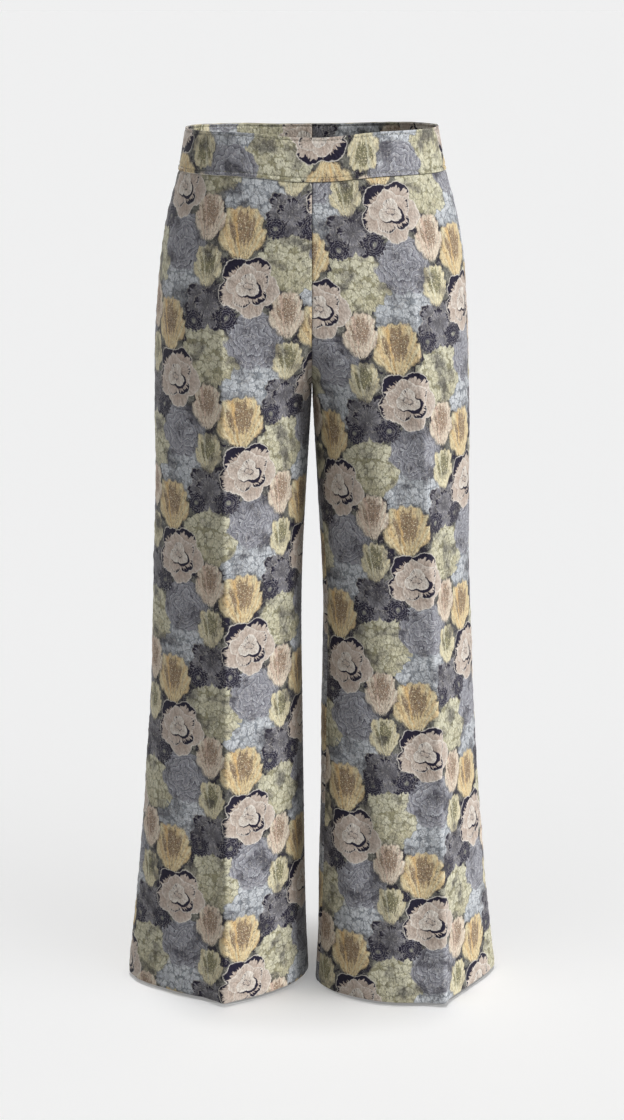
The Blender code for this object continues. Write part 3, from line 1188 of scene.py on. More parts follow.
    def build(self, jacquard: Material, wrong: Material, sewing: Material) -> list[Thing]:
        """Makes the three pieces and their stitches.

        Args:
            jacquard, wrong, sewing: Finishes of the cloth's face, its wrong side and the thread.

        Returns:
            All the pieces.
        """
        halves, thread = [Half(side, shares_round(), self.rows()) for side in Side], Thread()
        cuts = [(f"{self.name}_front", halves, Part.FRONT, self.front(halves))]
        for half in halves:
            name = f"{self.name}_back_{half.side.name.lower()}"
            cuts.append((name, [half], Part.BACK, self.back(half, name)))
        made = []
        for name, spanned, part, wall in cuts:
            piece = make_cloth(name, [wall], (jacquard, wrong))
            made.append(self.declare(piece, name, spanned, part))
        for part in Part:
            drops = self.stitch_rows[: self.rows_shown]
            runs = [self.stitches(half, part, drop, thread) for half in halves for drop in drops]
            made.append(thread.sew(f"stitching_{self.name}_{part.name.lower()}", self.slot, runs, sewing))
        return made


@dataclass(frozen=True)
class Facing(Waistband):
    """The facing behind the waistband, its face to the inside, whose pieces meet at their seams."""

    name: str = "facing"
    slot: str = "jacquard_facing"
    face: Face = Face.INSIDE
    finishes: tuple[int, int] = (1, 0)
    gapped: bool = False
    top: float = -0.0007
    cloth: float = 0.0010
    rows_shown: int = 1
    behind: float = 0.0015
    stitch_show: float = 0.7
    seam_show: float = 0.8

    def offsets(self, half: Half) -> tuple[Grid, Grid]:
        """The distances from the plain form, first of its wrong side and then of its face.

        Args:
            half: The half that the pieces are on.

        Returns:
            Both distances.
        """
        shape, roll = half.shape() + self.bulk - self.behind, self.roll(half)
        face = shape - self.cloth - self.stitched(half) * self.stitch_show
        return shape - roll, face + self.grooves(half) * self.seam_show + roll


# --- finishes


def step(operation: str, **settings: bool) -> Callable[..., "Field"]:
    """A method that takes one step of arithmetic from a field and any numbers after it."""
    return lambda field, *values: field.loom.math(operation, field, *values, **settings)


@dataclass(frozen=True)
class Field:
    """A number, colour or place that changes over the cloth: one output in a finish's node tree.

    Fields add up, subtract and multiply as numbers do. times multiplies by a factor and adds a second
    number, and held adds a number and holds the sum between 0 and 1.
    """

    loom: "Loom"
    socket: bpy.types.NodeSocket

    def also(self, output: Union[str, int]) -> "Field":
        """Another output of the same node."""
        return Field(self.loom, self.socket.node.outputs[output])

    def __rsub__(self, other: float) -> "Field":
        """A number less this."""
        return self.loom.math("SUBTRACT", other, self)

    __add__, __sub__, __mul__ = step("ADD"), step("SUBTRACT"), step("MULTIPLY")
    __abs__, cosine, times = step("ABSOLUTE"), step("COSINE"), step("MULTIPLY_ADD")
    held = step("ADD", clamp=True)

    def within(self, soft: float) -> "Field":
        """A mask that goes from 0 to 1 as this rises through 0, over a width of soft."""
        return self.loom.math("MULTIPLY_ADD", self, 1.0 / soft, 0.5, clamp=True)


Number = Union[Field, float]
Value = Union[Field, float, Sequence[float]]
Inputs = dict[Union[str, int], Value]


class Loom:
    """Writes a finish as sums, waves and masks in a node tree."""

    def __init__(self, tree: bpy.types.NodeTree) -> None:
        """Takes over the tree."""
        self.nodes, self.links = tree.nodes, tree.links

    def give(self, node: bpy.types.Node, values: Inputs) -> None:
        """Links each field to its input of a node, and sets each constant on the input itself.

        Args:
            node, values: The node, and what its inputs are given.
        """
        for name, value in values.items():
            if isinstance(value, Field):
                self.links.new(value.socket, node.inputs[name])
            else:
                node.inputs[name].default_value = value

    def node(self, kind: str, values: Inputs, output: int = 0, **settings: object) -> Field:
        """Adds a node.

        Args:
            kind, settings: Its type, and its own settings.
            values: What its inputs are given.
            output: Number of the output that is wanted.

        Returns:
            That output.
        """
        made = self.nodes.new(f"ShaderNode{kind}")
        for name, setting in settings.items():
            setattr(made, name, setting)
        self.give(made, values)
        return Field(self, made.outputs[output])

    def math(self, operation: str, *values: Number, clamp: bool = False) -> Field:
        """One step of arithmetic."""
        return self.node("Math", dict(enumerate(values)), operation=operation, use_clamp=clamp)

    def vector(self, operation: str, *values: Value) -> Field:
        """One step of arithmetic on places or directions."""
        return self.node("VectorMath", dict(enumerate(values)), operation=operation)

    def length(self, vector: Field) -> Field:
        """How long a direction is."""
        return self.node("VectorMath", {0: vector}, 1, operation="LENGTH")

    def parts(self, vector: Field) -> tuple[Field, Field, Field]:
        """The three numbers of a place."""
        x = self.node("SeparateXYZ", {0: vector})
        return x, x.also(1), x.also(2)

    def place(self, x: Number, y: Number) -> Field:
        """A place on the flat from its numbers."""
        return self.node("CombineXYZ", {0: x, 1: y})

    def mix(self, mask: Number, below: Union[Field, Colour], above: Union[Field, Colour]) -> Field:
        """A colour that goes from below to above as the mask goes from 0 to 1."""
        return self.node("Mix", {0: mask, 6: below, 7: above}, 2, data_type="RGBA")

    def noise(
        self, place: Field, scale: Union[float, Pair], detail: float = 1.0, roughness: float = 0.5
    ) -> Field:
        """Smooth noise about 0.5.

        Args:
            place, scale: Where, and how many waves in a unit, both ways or across and up.
            detail, roughness: How many finer noises are added, and their share.

        Returns:
            The noise.
        """
        if isinstance(scale, tuple):
            place, scale = self.vector("MULTIPLY", place, (*scale, 0.0)), 1.0
        values = {"Vector": place, "Scale": scale, "Detail": detail, "Roughness": roughness}
        return self.node("TexNoise", values, noise_dimensions="2D")

    def cells(self, place: Field, scale: float, jitter: float, feature: str = "F1") -> Field:
        """Scattered middles: the distance to the nearest, or to the border between two."""
        values = {"Vector": place, "Scale": scale, "Randomness": jitter}
        return self.node("TexVoronoi", values, voronoi_dimensions="2D", feature=feature)


def tints(*codes: str) -> Tones:
    """Colours from their six-digit codes, as light.

    Args:
        codes: The codes.

    Returns:
        The colours: each level over 12.92 up to 0.04045, and above it the level plus 0.055, over 1.055, to
        the power of 2.4.
    """
    made = []
    for code in codes:
        levels = [int(code[i : i + 2], 16) / 255 for i in (0, 2, 4)]
        light = [x / 12.92 if x <= 0.04045 else ((x + 0.055) / 1.055) ** 2.4 for x in levels]
        made.append((*light, 1.0))
    return tuple(made)


@dataclass(frozen=True)
class Palette:
    """The yarns of the jacquard. Each flower has its main colour, a second and that of its lines, and the
    ground and the navy have a paler shade each."""

    ground: Tones = tints("3B3936", "807F74")
    navy: Tones = tints("1B162D", "34313B")
    blush: Tones = tints("C3B6A9", "A69384", "D3CCC1")
    cream: Tones = tints("D3CCC1", "A69384", "D3CCC1")
    ochre: Tones = tints("C8A15C", "CDBF94", "84684A")
    pale: Tones = tints("C3BFA3", "CDBF94", "75714F")
    bud: Tones = tints("BFA28C", "D0C5AE", "8E735B")
    lime: Tones = tints("C3BFA3", "AEA785", "75714F")
    sky: Tones = tints("BABEC2", "A3A8AD", "5C636C")
    slate: Tones = tints("999AA1", "7B7A83", "444350")
    dusk: Tones = tints("88868D", "5D5B5F", "98948F")


class Spot(NamedTuple):
    """Where a place on the cloth lies about a flower: across and up in mm, distance and angle, and the
    unit direction from the flower's middle."""

    x: Field
    y: Field
    radius: Field
    angle: Field
    way: Field


class Ring(NamedTuple):
    """A ring of petals, in mm: how many there are, their turn and the depth of the cuts between them, the
    same for the ruffles of their edge, how far the ring reaches, and how far in its navy comes: the more
    on the side that it leans to, the more in the middle of a petal, and the least."""

    petals: float
    turn: float
    cut: float
    ruffles: float
    ruffle_turn: float
    ruffle: float
    reach: float
    lean: float
    navy: float
    least: float


PEONY = (
    Ring(5, 0.5, 7.5, 13, 1.1, 1.4, 27.5, 9.0, 7.0, -11.5),
    Ring(5, 1.9, 6.0, 11, 0.2, 1.2, 18.5, 6.0, 4.0, -11.5),
    Ring(3, 0.9, 5.0, 0, 0.0, 0.0, 9.5, 4.0, 0.0, -10.5),
)
CARNATION = (
    Ring(7, 0.7, 8.40, 23, 0.7, 2.2, 21.60, 0.0, 8.0, -10.5),
    Ring(5, 2.2, 4.76, 17, 2.2, 2.2, 12.24, 0.0, 8.0, -10.5),
)


class Flowers:
    """A close pattern of garden flowers, drawn one over the other at a place on the cloth in mm.

    The repeat drops by half: each column of flowers stands beside the next, half a repeat lower. Every
    flower is drawn over what lies under it, at a place across and up in the repeat.
    """

    ACROSS, DOWN = 93.0, 213.0
    FLORETS = 1 / 10.5

    def __init__(self, loom: Loom, place: Field, palette: Palette) -> None:
        """Works out what the flowers share: the bent place and its repeats, two noises and the florets.

        Args:
            loom, place, palette: Writer of the finish, the place on the cloth in mm, and the yarns.
        """
        self.loom, self.place, self.palette, self.mix = loom, place, palette, loom.mix
        bend = loom.noise(place, 1 / 9.0, 4.0, 0.62).also(1)
        self.bent = loom.vector("MULTIPLY_ADD", bend, (5.0, 5.0, 0.0), place)
        self.lattice = self.repeats(self.bent)
        self.wobble = loom.noise(place, 1 / 13.0, 0.6) - 0.5
        self.grain = loom.noise(place, 1 / 1.6, 0.0)
        self.florets()

    def repeats(self, place: Field) -> Field:
        """A place in mm as repeats: across, and down less half of across.

        Args:
            place: The place in mm.

        Returns:
            The place in repeats.
        """
        x, y, _ = self.loom.parts(place)
        across = x * (1 / self.ACROSS)
        return self.loom.place(across, y.times(1 / self.DOWN, across * -0.5))

    def florets(self) -> None:
        """Draws small four-petalled florets about scattered middles, each turned its own way.

        A petal reaches as far as the root of the size of the cosine of twice the angle, or to the next
        floret. It has a thin line round it and shades towards the middle, where there is a pale eye.
        """
        loom, near = self.loom, self.loom.cells(self.bent, self.FLORETS, 0.85)
        between = loom.cells(self.bent, self.FLORETS, 0.85, "DISTANCE_TO_EDGE")
        middle, turn = near.also("Position"), loom.parts(near.also("Color"))[0]
        away = loom.vector("SUBTRACT", self.bent, middle)
        dx, dy, _ = loom.parts(away)
        radius = loom.length(away) * self.FLORETS
        wave = abs(turn.times(6.3, loom.math("ARCTAN2", dy, dx) * 2.0).cosine())
        inside = loom.math("SQRT", wave).times(0.46, 0.27) - radius
        line = loom.math("MAXIMUM", (0.05 - inside).within(0.08), (0.045 - between).within(0.06))
        self.heads, self.floret = self.repeats(middle), inside.within(0.05)
        self.floret_line = loom.math("SUBTRACT", line * 0.8, (0.08 - radius).within(0.05), clamp=True)
        self.floret_tone = radius.times(-1.1, turn.times(0.9, 0.1))

    def spot(self, at: Pair, lattice: Optional[Field] = None) -> Spot:
        """Coordinates about the nearest of the flowers that repeat from a place.

        The place on the cloth, in repeats, less the flower's, keeps only its fraction. Turned back into
        mm, that is the way from the nearest such flower.

        Args:
            at: The flower's place across and up, in mm.
            lattice: The place in repeats, or none for that on the cloth.

        Returns:
            The coordinates.
        """
        loom, wide, tall = self.loom, self.ACROSS, self.DOWN
        corner = (at[0] / wide - 0.5, at[1] / tall - at[0] / wide / 2 - 0.5, 0.0)
        kept = loom.vector("FRACTION", loom.vector("SUBTRACT", lattice or self.lattice, corner))
        sheared = loom.vector("MULTIPLY_ADD", kept, (wide, tall, 0.0), (-wide / 2, -tall / 2, 0.0))
        dx, part, _ = loom.parts(sheared)
        dy = dx.times(tall / wide / 2, part)
        way = loom.place(dx, dy)
        return Spot(dx, dy, loom.length(way), loom.math("ARCTAN2", dy, dx), loom.vector("NORMALIZE", way))

    def petals(self, spot: Spot, count: float, turn: float) -> Field:
        """Petals round a flower: the size of the cosine of half count times the angle."""
        return abs(spot.angle.times(count / 2, turn).cosine())

    def ring(
        self, under: Field, spot: Spot, ring: Ring, strokes: Field, tones: Tones, lean: Optional[Field] = None
    ) -> tuple[Field, Field]:
        """One ring of petals, shaded towards its inside, with feathered navy tips and a pale edge.

        Args:
            under, spot: What the ring lies on, and coordinates about the flower.
            ring, strokes: The ring, and fine strokes that run out from the flower's middle.
            tones: The petals' light colour, their shaded colour and the colour of their edge.
            lean: The side that its navy leans to, if it does.

        Returns:
            The colour, and the distance in from the petals' edge.
        """
        light, shaded, edge = tones
        lobes = self.petals(spot, ring.petals, ring.turn)
        reach = lobes.times(ring.cut, ring.reach)
        if ring.ruffles:
            reach = self.petals(spot, ring.ruffles, ring.ruffle_turn).times(ring.ruffle, reach)
        rim, tips = reach - spot.radius, lobes.times(ring.navy, ring.least)
        if lean:
            tips = lean.times(ring.lean, tips)
        shade = strokes.times(1.5, rim * 0.055).held(-0.55)
        petal = self.mix(shade, light, shaded)
        petal = self.mix((strokes.times(15.0, tips) - rim).within(0.9), petal, self.palette.navy[0])
        petal = self.mix((1.0 - rim).within(0.9) * 0.8, petal, edge)
        return self.mix(rim.within(0.5), under, petal), rim

    def peony(self, under: Field, at: Pair) -> Field:
        """A blush peony: two rings of petals round a cup drawn in broken navy arcs.

        Args:
            under, at: What it lies on, and its place in mm.

        Returns:
            The colour.
        """
        p, navy, spot = self.palette, self.palette.navy[0], self.spot(at)
        strokes = self.loom.noise(spot.way, 10.0, 2.0, 0.6)
        high, low = (spot.angle.times(1.0, turn).cosine() for turn in (-2.1, 0.9))
        for ring, lean, tones in zip(PEONY, (high, low, high), (p.blush, p.blush, p.cream)):
            under, cup = self.ring(under, spot, ring, strokes, tones, lean)
        line = low.times(1.7, 0.1) - abs(cup + 0.9)
        barbs = (strokes.times(18.0, cup) - 10.2).within(1.0) * low.within(0.8) * (0.4 - cup).within(0.8)
        flower = self.mix(self.loom.math("MAXIMUM", line.within(0.7), barbs), under, navy)
        heart = self.petals(spot, 2, 0.4).times(3.0, 2.2) - spot.radius
        return self.mix(((strokes * 4.5 - 1.9) - abs(heart)).within(0.8), flower, navy)

    def carnation(self, under: Field, at: Pair) -> Field:
        """A dusk-grey carnation: two ruffled rings of petals, most of their tips navy.

        Args:
            under, at: What it lies on, and its place in mm.

        Returns:
            The colour.
        """
        spot = self.spot(at)
        strokes = self.loom.noise(spot.way, 8.0, 2.0, 0.6)
        for ring in CARNATION:
            under, _ = self.ring(under, spot, ring, strokes, self.palette.dusk)
        return under

    def rose(self, under: Field, at: Pair, radius: float, turn: float, tones: Tones) -> Field:
        """A full rose drawn in close tonal petal lines, which wind out from its heart.

        Args:
            under, at: What it lies on, and its place in mm.
            radius, turn: Its radius, in mm, and the angle that it is turned by.
            tones: Its light, deep and line colours.

        Returns:
            The colour.
        """
        spot, (light, deep, line) = self.spot(at), tones
        lobes = abs(spot.radius.times(0.075, spot.angle.times(2.0, turn)).cosine())
        rings = self.wobble.times(2.4, lobes.times(0.8, spot.radius * 0.15))
        part = self.loom.math("FRACT", rings)
        flower = self.mix(part, deep, light)
        flower = self.mix((0.11 - part).within(0.16) * 0.85, flower, line)
        flower = self.mix((part - 0.86).within(0.16) * 0.4, flower, self.palette.sky[0])
        rim = self.wobble.times(9.0, self.petals(spot, 7, turn).times(3.6, radius - 2.5)) - spot.radius
        return self.mix(rim.within(1.6), under, flower)

    def hydrangea(self, under: Field, at: Pair, radius: float, tones: Tones) -> Field:
        """A head of small four-petalled florets over a darker ball, in shade towards its foot.

        Args:
            under, at: What it lies on, and its place in mm.
            radius: Radius of the head, in mm.
            tones: The petals' light colour, their shaded colour and the colour of the lines.

        Returns:
            The colour.
        """
        spot, middles, (light, shaded, line) = self.spot(at), self.spot(at, self.heads), tones
        under = self.mix((radius - 3.0 - spot.radius).within(3.0), under, shaded)
        under = self.mix((radius - 4.0 - spot.radius).within(3.0) * 0.55, under, line)
        away = (middles.y * (-0.55 / radius)).held(self.floret_tone)
        petal = self.mix(self.floret_line * 0.8, self.mix(away, light, shaded), line)
        return self.mix((radius - middles.radius).within(0.5) * self.floret, under, petal)

    def tulip(self, under: Field, at: Pair, size: Pair, tones: Tones) -> Field:
        """An open tulip or bud: a cup with a ragged rim, streaks that rise from its base and a dark throat
        with pale dots.

        Args:
            under, at: What it lies on, and its place in mm.
            size: Half its width and half its height, in mm.
            tones: Its colour, its light colour and its throat.

        Returns:
            The colour.
        """
        loom, spot, (main, light, throat) = self.loom, self.spot(at), tones
        across, up = spot.x * (1 / size[0]), spot.y * (1 / size[1])
        streaks = loom.noise(loom.vector("NORMALIZE", loom.place(across, up + 1.35)), 8.0)
        tips = abs(spot.angle.times(2.5, 0.8).cosine()) * 0.14
        rim = streaks.times(0.36, tips) + 0.66 - loom.length(loom.place(across, up))
        flower = self.mix(streaks.times(2.4, -0.7), main, light)
        dark = (streaks.times(1.1, -0.02) - loom.length(loom.place(across * 1.2, up - 0.16))).within(0.16)
        flower = self.mix(dark * 0.9, flower, throat)
        flower = self.mix((self.grain - 0.72).within(0.06) * dark, flower, light)
        under = self.mix((rim + 0.10).within(0.26) * 0.50, under, self.palette.ground[0])
        return self.mix(rim.within(0.09), under, flower)

    def aster(self, under: Field, at: Pair, radius: float) -> Field:
        """A small navy aster with narrow rays.

        Args:
            under, at: What it lies on, and its place in mm.
            radius: Its radius, in mm.

        Returns:
            The colour.
        """
        p, spot = self.palette, self.spot(at)
        rays = self.petals(spot, 15, 0.3)
        rim = rays.times(radius * 0.25, radius * 0.75) - spot.radius
        rings = abs(spot.radius.times(1.1, rays * 1.4).cosine())
        tone = self.mix((0.35 - rings).within(0.35) * 0.75, p.navy[0], p.slate[1])
        tone = self.mix((2.6 - spot.radius).within(1.0), tone, p.ground[1])
        return self.mix(rim.within(0.8), under, tone)

    def leaves(self) -> Field:
        """The dark foliage behind the flowers: broad, shadowed leaves with a lighter middle.

        Returns:
            The colour.
        """
        veins = self.loom.noise(self.bent, 1 / 3.5)
        shade = self.loom.cells(self.bent, 1 / 15.0, 0.9).times(1.3, veins * 0.7)
        middle, ground = self.palette.ground[1], self.palette.ground[0]
        tone = self.mix(shade.held(-0.3), middle, ground)
        return self.mix((shade - 0.98).within(0.14), tone, self.palette.navy[0])

    def smoke(self, cloth: Field) -> Field:
        """Soft navy shadow that drifts over the flowers behind, where a ragged slow noise is high."""
        drift = self.loom.noise(self.place, 1 / 30.0, 3.0, 0.55)
        return self.mix((drift - 0.60).within(0.17) * 0.72, cloth, self.palette.navy[1])

    def drawn_lines(self, cloth: Field) -> Field:
        """Thin broken lines over the flowers behind the peonies, as if each were drawn in ink and wash:
        where one noise crosses its middle, dark where a slower noise is high and pale where it is low.

        Args:
            cloth: The colour under them.

        Returns:
            The colour.
        """
        fine = self.loom.noise(self.place, (0.26, 0.15), 2.0, 0.6)
        slow = self.loom.noise(self.place, 1 / 9.0, 0.0)
        dark = (0.020 - abs(fine - 0.5)).within(0.026) * (slow - 0.42).within(0.12)
        light = (0.018 - abs(fine - 0.59)).within(0.024) * (0.60 - slow).within(0.12)
        cloth = self.mix(dark * 0.62, cloth, self.palette.navy[1])
        return self.mix(light * 0.36, cloth, self.palette.blush[2])

    def drawn(self) -> Field:
        """The whole pattern, from the leaves up to the peonies.

        Returns:
            The colour.
        """
        p, cloth = self.palette, self.leaves()
        for draw, *about in (
            (self.hydrangea, (2.0, 108.0), 37.0, p.sky),
            (self.hydrangea, (47.0, 27.0), 35.0, p.lime),
            (self.carnation, (46.0, 85.0)),
            (self.rose, (8.0, -60.0), 33.0, 0.4, p.slate),
            (self.tulip, (45.0, -84.0), (18.0, 24.0), p.pale),
            (self.aster, (28.0, 66.0), 13.0),
            (self.aster, (-24.0, -36.0), 14.0),
            (self.smoke,),
            (self.tulip, (-9.0, 60.0), (27.0, 31.0), p.ochre),
            (self.tulip, (44.0, -30.0), (20.0, 27.0), p.bud),
            (self.drawn_lines,),
            (self.peony, (0.0, 0.0)),
        ):
            cloth = draw(cloth, *about)
        return cloth


@dataclass(frozen=True)
class Finish:
    """A finish: one shader, with its colour, height and dullness woven by the kind of cloth or thread.

    The bump is as strong as strength, at a height of distance in metres. The roughness is the dullness
    times its first number, plus its second.
    """

    name: str
    strength: float
    distance: float
    roughness: Pair
    sheen: float
    sheen_roughness: float = 0.5
    specular: float = 0.5

    def weave(self, loom: Loom) -> tuple[Field, Field, Field]:
        """Draws the colour, the height and the dullness."""
        raise NotImplementedError

    def cloth_place(self, loom: Loom) -> Field:
        """Place on the flat cloth, in mm."""
        flat = loom.node("UVMap", {}, uv_map="cloth")
        return loom.node("VectorMath", {0: flat, "Scale": 1000.0}, operation="SCALE")

    def make(self) -> Material:
        """Makes the material.

        Returns:
            The finish.
        """
        material = bpy.data.materials.new(self.name)
        material.use_nodes = True
        loom = Loom(material.node_tree)
        colour, height, dull = self.weave(loom)
        bumped = {"Strength": self.strength, "Distance": self.distance, "Height": height}
        values = {"Base Color": colour, "Normal": loom.node("Bump", bumped)}
        values |= {"Roughness": dull.times(*self.roughness)}
        values |= {"Sheen Weight": self.sheen, "Sheen Roughness": self.sheen_roughness}
        loom.give(loom.nodes["Principled BSDF"], {**values, "Specular IOR Level": self.specular})
        return material


@dataclass(frozen=True)
class Jacquard(Finish):
    """A puckered, faintly ribbed furnishing-weight jacquard with a close pattern of garden flowers."""

    name: str = "jacquard"
    strength: float = 0.8
    distance: float = 0.0004
    roughness: Pair = (0.22, 0.51)
    sheen: float = 0.03
    sheen_roughness: float = 0.45
    specular: float = 0.12
    palette: Palette = Palette()
    saturation: float = 0.84
    yarn_value: float = 0.40
    # share of painted pucker shade in the colour: lighter on the puckers' crowns, darker in their hollows
    pucker_painted_shade: float = 0.56
    least_value: float = 0.18
    pucker_height: float = 2.2
    rib_height: float = 0.16
    rib: Pair = (1.25, 1.6)

    def weave(self, loom: Loom) -> tuple[Field, Field, Field]:
        """Draws the pattern, the yarns' own variation, painted shade that lightens the colour on the puckers'
        crowns and darkens it in their hollows, and the height of the pucker and the rib, which is the
        product of two cosines.

        Args:
            loom: Writer of the finish.

        Returns:
            Its colour, height and dullness.
        """
        place = self.cloth_place(loom)
        yarn = loom.noise(place, (1.7, 0.45), 2.0, 0.6)
        pucker = loom.noise(place, (0.36, 0.24), 2.0, 0.55)
        tone = {"Color": Flowers(loom, place, self.palette).drawn(), "Saturation": self.saturation}
        # Painted shade: the colour follows the pucker noise that also gives the height, lighter on the
        # puckers' crowns and darker in their hollows; the yarn noise is the yarns' own variation
        tone["Value"] = yarn.times(self.yarn_value, pucker.times(self.pucker_painted_shade, self.least_value))
        x, y, _ = loom.parts(place)
        across, up = ((part * (TAU / pitch)).cosine() for part, pitch in zip((x, y), self.rib))
        height = pucker.times(self.pucker_height, across * up * self.rib_height)
        return loom.node("HueSaturation", tone), height, yarn


@dataclass(frozen=True)
class WrongSide(Finish):
    """The jacquard's wrong side: the same yarns as loose, blurred floats, paler and greyer."""

    name: str = "jacquard_wrong_side"
    strength: float = 0.4
    distance: float = 0.0003
    roughness: Pair = (0.2, 0.68)
    sheen: float = 0.2
    yarns: Tones = tints("8F9087", "9C9478", "868B92", "5A5B5A", "B5AC98")

    def weave(self, loom: Loom) -> tuple[Field, Field, Field]:
        """Draws two noises and a fine lengthwise rib.

        Args:
            loom: Writer of the finish.

        Returns:
            Its colour, height and dullness.
        """
        place = self.cloth_place(loom)
        blots = loom.noise(place, 1 / 24.0, 2.0)
        first, second, _ = loom.parts(blots.also(1))
        streaks = loom.noise(place, (1.6, 0.3), 2.0)
        masks = ((first - 0.5).within(0.12), (second - 0.55).within(0.10), (blots - 0.58).within(0.08) * 0.7)
        tone = self.yarns[0]
        for mask, yarn in zip((*masks, streaks.times(0.9, -0.2)), self.yarns[1:]):
            tone = loom.mix(mask, tone, yarn)
        return tone, streaks, streaks


@dataclass(frozen=True)
class SewingThread(Finish):
    """Dull olive-green sewing thread with a fine twist."""

    name: str = "sewing_thread"
    strength: float = 0.3
    distance: float = 0.0001
    roughness: Pair = (0.2, 0.5)
    sheen: float = 0.3
    yarns: Tones = tints("35362B", "4E4F3E")
    twist: float = 0.0005
    slant: float = 0.6

    def weave(self, loom: Loom) -> tuple[Field, Field, Field]:
        """Draws a close slanting wave and a slow noise.

        Args:
            loom: Writer of the finish.

        Returns:
            Its colour, height and dullness.
        """
        place = loom.node("TexCoord", {}, 3)
        x, _, z = loom.parts(place)
        slow = loom.noise(place, 90.0)
        return loom.mix(slow, *self.yarns), (x.times(self.slant, z) * (TAU / self.twist)).cosine(), slow


# --- studio


class Lit(Enum):
    """What a lamp falls on."""

    ALL = "all"
    GARMENT = "garment"
    FLOOR = "floor"


@dataclass(frozen=True)
class Lamp:
    """One broad studio light, so far off that it falls evenly: its direction, brightness and softness.

    Its compass is from the front, plus to the right, and its height above level, both in degrees.
    """

    name: str
    compass: float
    height: float
    strength: float
    softness: float
    on: Lit = Lit.ALL

    def build(self, lit: dict[Lit, Sequence[Thing]]) -> None:
        """Makes the light.

        Args:
            lit: The objects of each kind that a lamp can be kept to.
        """
        lamp = bpy.data.lights.new(self.name, "SUN")
        lamp.energy, lamp.angle = self.strength * np.pi, np.radians(self.softness)
        made = bpy.data.objects.new(self.name, lamp)
        turn, up = np.radians(self.compass), np.radians(self.height)
        way = Vector((-np.sin(turn) * np.cos(up), np.cos(turn) * np.cos(up), -np.sin(up)))
        made.rotation_mode = "QUATERNION"
        made.rotation_quaternion = way.to_track_quat("-Z", "Y")
        bpy.context.scene.collection.objects.link(made)
        if self.on in lit:
            kept = bpy.data.collections.new(f"{self.name}_falls_on")
            for thing in lit[self.on]:
                kept.objects.link(thing)
            made.light_linking.receiver_collection = kept


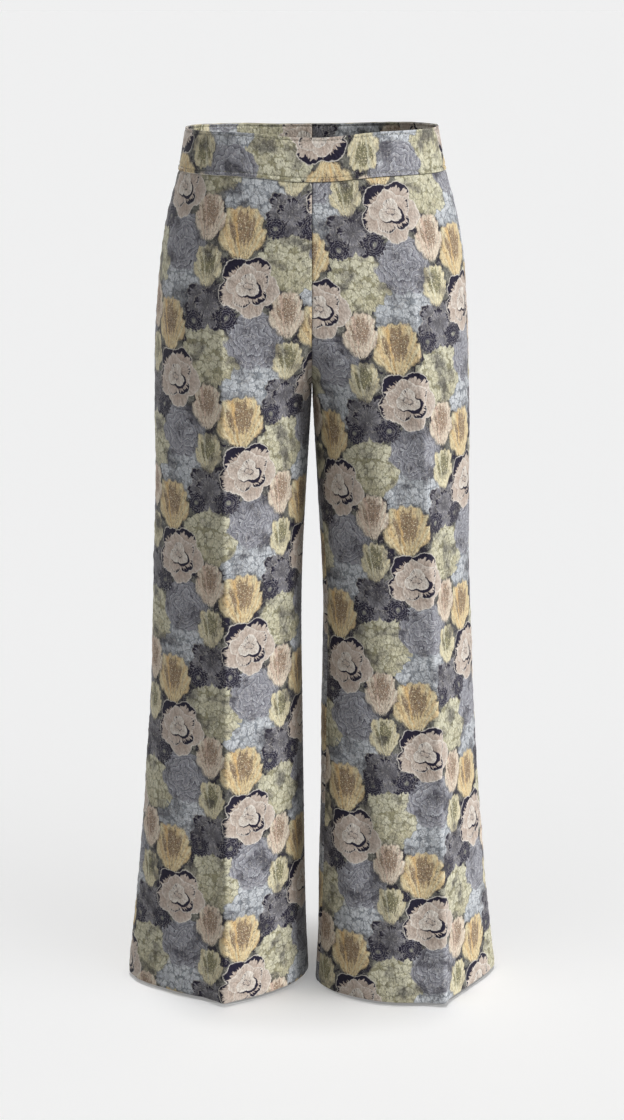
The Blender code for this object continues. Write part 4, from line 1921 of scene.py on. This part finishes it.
@dataclass(frozen=True)
class Studio:
    """A pale, faintly lit floor that runs out of sight, a sky that is pale low down, soft lamps and the
    camera."""

    floor_drop: float = 0.0045
    floor_size: float = 90.0
    floor_colour: Colour = (0.84, 0.84, 0.84, 1.0)
    floor_glow: float = 0.21
    floor_roughness: float = 0.95
    shade_share: float = 0.975
    shade_rise: float = 0.0002
    shade_steps: int = 120
    horizon: Colour = (0.8676, 0.8684, 0.8703, 1.0)
    zenith: Colour = (0.055, 0.056, 0.058, 1.0)
    fade: Pair = (11.2, 17.0)
    lamps: tuple[Lamp, ...] = (
        Lamp("key", 62.0, 30.0, 1.75, 22.0, Lit.GARMENT),
        Lamp("rim", -95.0, 15.0, 0.27, 50.0, Lit.GARMENT),
        Lamp("back", 200.0, 35.0, 0.80, 40.0, Lit.GARMENT),
        Lamp("wash", 40.0, 50.0, 0.10, 50.0),
        Lamp("over", 0.0, 88.2, 0.24, 4.5, Lit.FLOOR),
        Lamp("over_back", 180.0, 87.4, 0.20, 5.0, Lit.FLOOR),
        Lamp("over_left", -50.0, 55.0, 0.10, 40.0, Lit.FLOOR),
        Lamp("over_right", 65.0, 48.0, 0.11, 40.0, Lit.FLOOR),
    )
    camera_place: tuple[float, float, float] = (0.0, -2.6, 0.194)
    camera_pitch: float = 15.15
    lens: float = 72.58
    film: float = 36.0
    far: float = 200.0

    def build(self, garment: Sequence[Thing]) -> None:
        """Makes the floor, the sky, the lamps and the camera.

        Args:
            garment: The garment's pieces.
        """
        scene = bpy.context.scene
        scene.view_settings.view_transform = "Standard"
        half, level, paper = self.floor_size / 2, -FORM.outseam - self.floor_drop, self.floor_finish()
        corners = np.array([(x * half, y * half, level) for x, y in ((-1, -1), (1, -1), (1, 1), (-1, 1))])
        floor = make_object("floor", corners, np.array([[0, 1, 2, 3]]), (paper,))
        self.sky()
        for lamp in self.lamps:
            lamp.build({Lit.GARMENT: garment, Lit.FLOOR: [floor]})
        for side in Side:
            self.shade(side, level, paper)
        lens = bpy.data.cameras.new("camera")
        lens.lens, lens.sensor_width, lens.clip_end = self.lens, self.film, self.far
        camera = bpy.data.objects.new("camera", lens)
        camera.location = self.camera_place
        camera.rotation_euler = (np.radians(90 - self.camera_pitch), 0.0, 0.0)
        scene.collection.objects.link(camera)
        scene.camera = camera

    def shade(self, side: Side, level: float, paper: Material) -> None:
        """Lays a patch of floor inside a hem, out of the overhead lamps' reach: the hem's ring drawn in
        towards its middle, and joined to it.

        Args:
            side, level, paper: The leg that it is under, and the floor's height and finish.
        """
        shares = np.linspace(0.0, 1.0, self.shade_steps + 1)[:-1]
        ring = FORM.surface(shares, np.array([-FORM.outseam]), side)[0] * (side.value, 1, 1)
        middle = ring.mean(axis=0)
        points = np.concatenate([middle + (ring - middle) * self.shade_share, [middle]])
        points[:, 2] = level + self.shade_rise
        at = np.arange(len(ring))
        faces = np.stack([at, np.roll(at, -1), np.full(len(ring), len(ring))], axis=-1)
        name = f"floor_inside_{side.name.lower()}"
        make_object(name, points, faces[:, :: -side.value], (paper,))

    def sky(self) -> None:
        """Lights the studio evenly: pale near the level, fading to dim above."""
        world = bpy.context.scene.world or bpy.data.worlds.new("studio")
        bpy.context.scene.world = world
        world.use_nodes = True
        loom = Loom(world.node_tree)
        up = loom.parts(loom.node("TexCoord", {}))[2]
        low, high = (float(np.sin(np.radians(angle))) for angle in self.fade)
        blend = loom.node("MapRange", {"Value": up, "From Min": low, "From Max": high})
        loom.give(loom.nodes["Background"], {"Color": loom.mix(blend, self.horizon, self.zenith)})

    def floor_finish(self) -> Material:
        """Matt off-white paper, lit a little from below so that shadows on it stay faint.

        Returns:
            The material.
        """
        paper = bpy.data.materials.new("studio_floor")
        paper.use_nodes = True
        values = {"Base Color": self.floor_colour, "Emission Color": (1.0, 1.0, 1.0, 1.0)}
        values |= {"Emission Strength": self.floor_glow, "Roughness": self.floor_roughness}
        loom = Loom(paper.node_tree)
        loom.give(loom.nodes["Principled BSDF"], {**values, "Specular IOR Level": 0.0})
        return paper


def write_boxes() -> None:
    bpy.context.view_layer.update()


def main() -> None:
    """Builds the finishes, the panels, the waistband and the studio, in that order."""
    logging.basicConfig(level=logging.INFO, format="%(message)s")
    jacquard, wrong, thread = Jacquard().make(), WrongSide().make(), SewingThread().make()
    pieces = LegPanels().build(jacquard, wrong)
    for layer in (Waistband(), Facing()):
        pieces += layer.build(jacquard, wrong, thread)
    for piece in pieces:
        LOG.info("%s: %d faces", piece.name, len(piece.data.polygons))
    Studio().build(pieces)
    write_boxes()


if __name__ == "__main__":
    main()
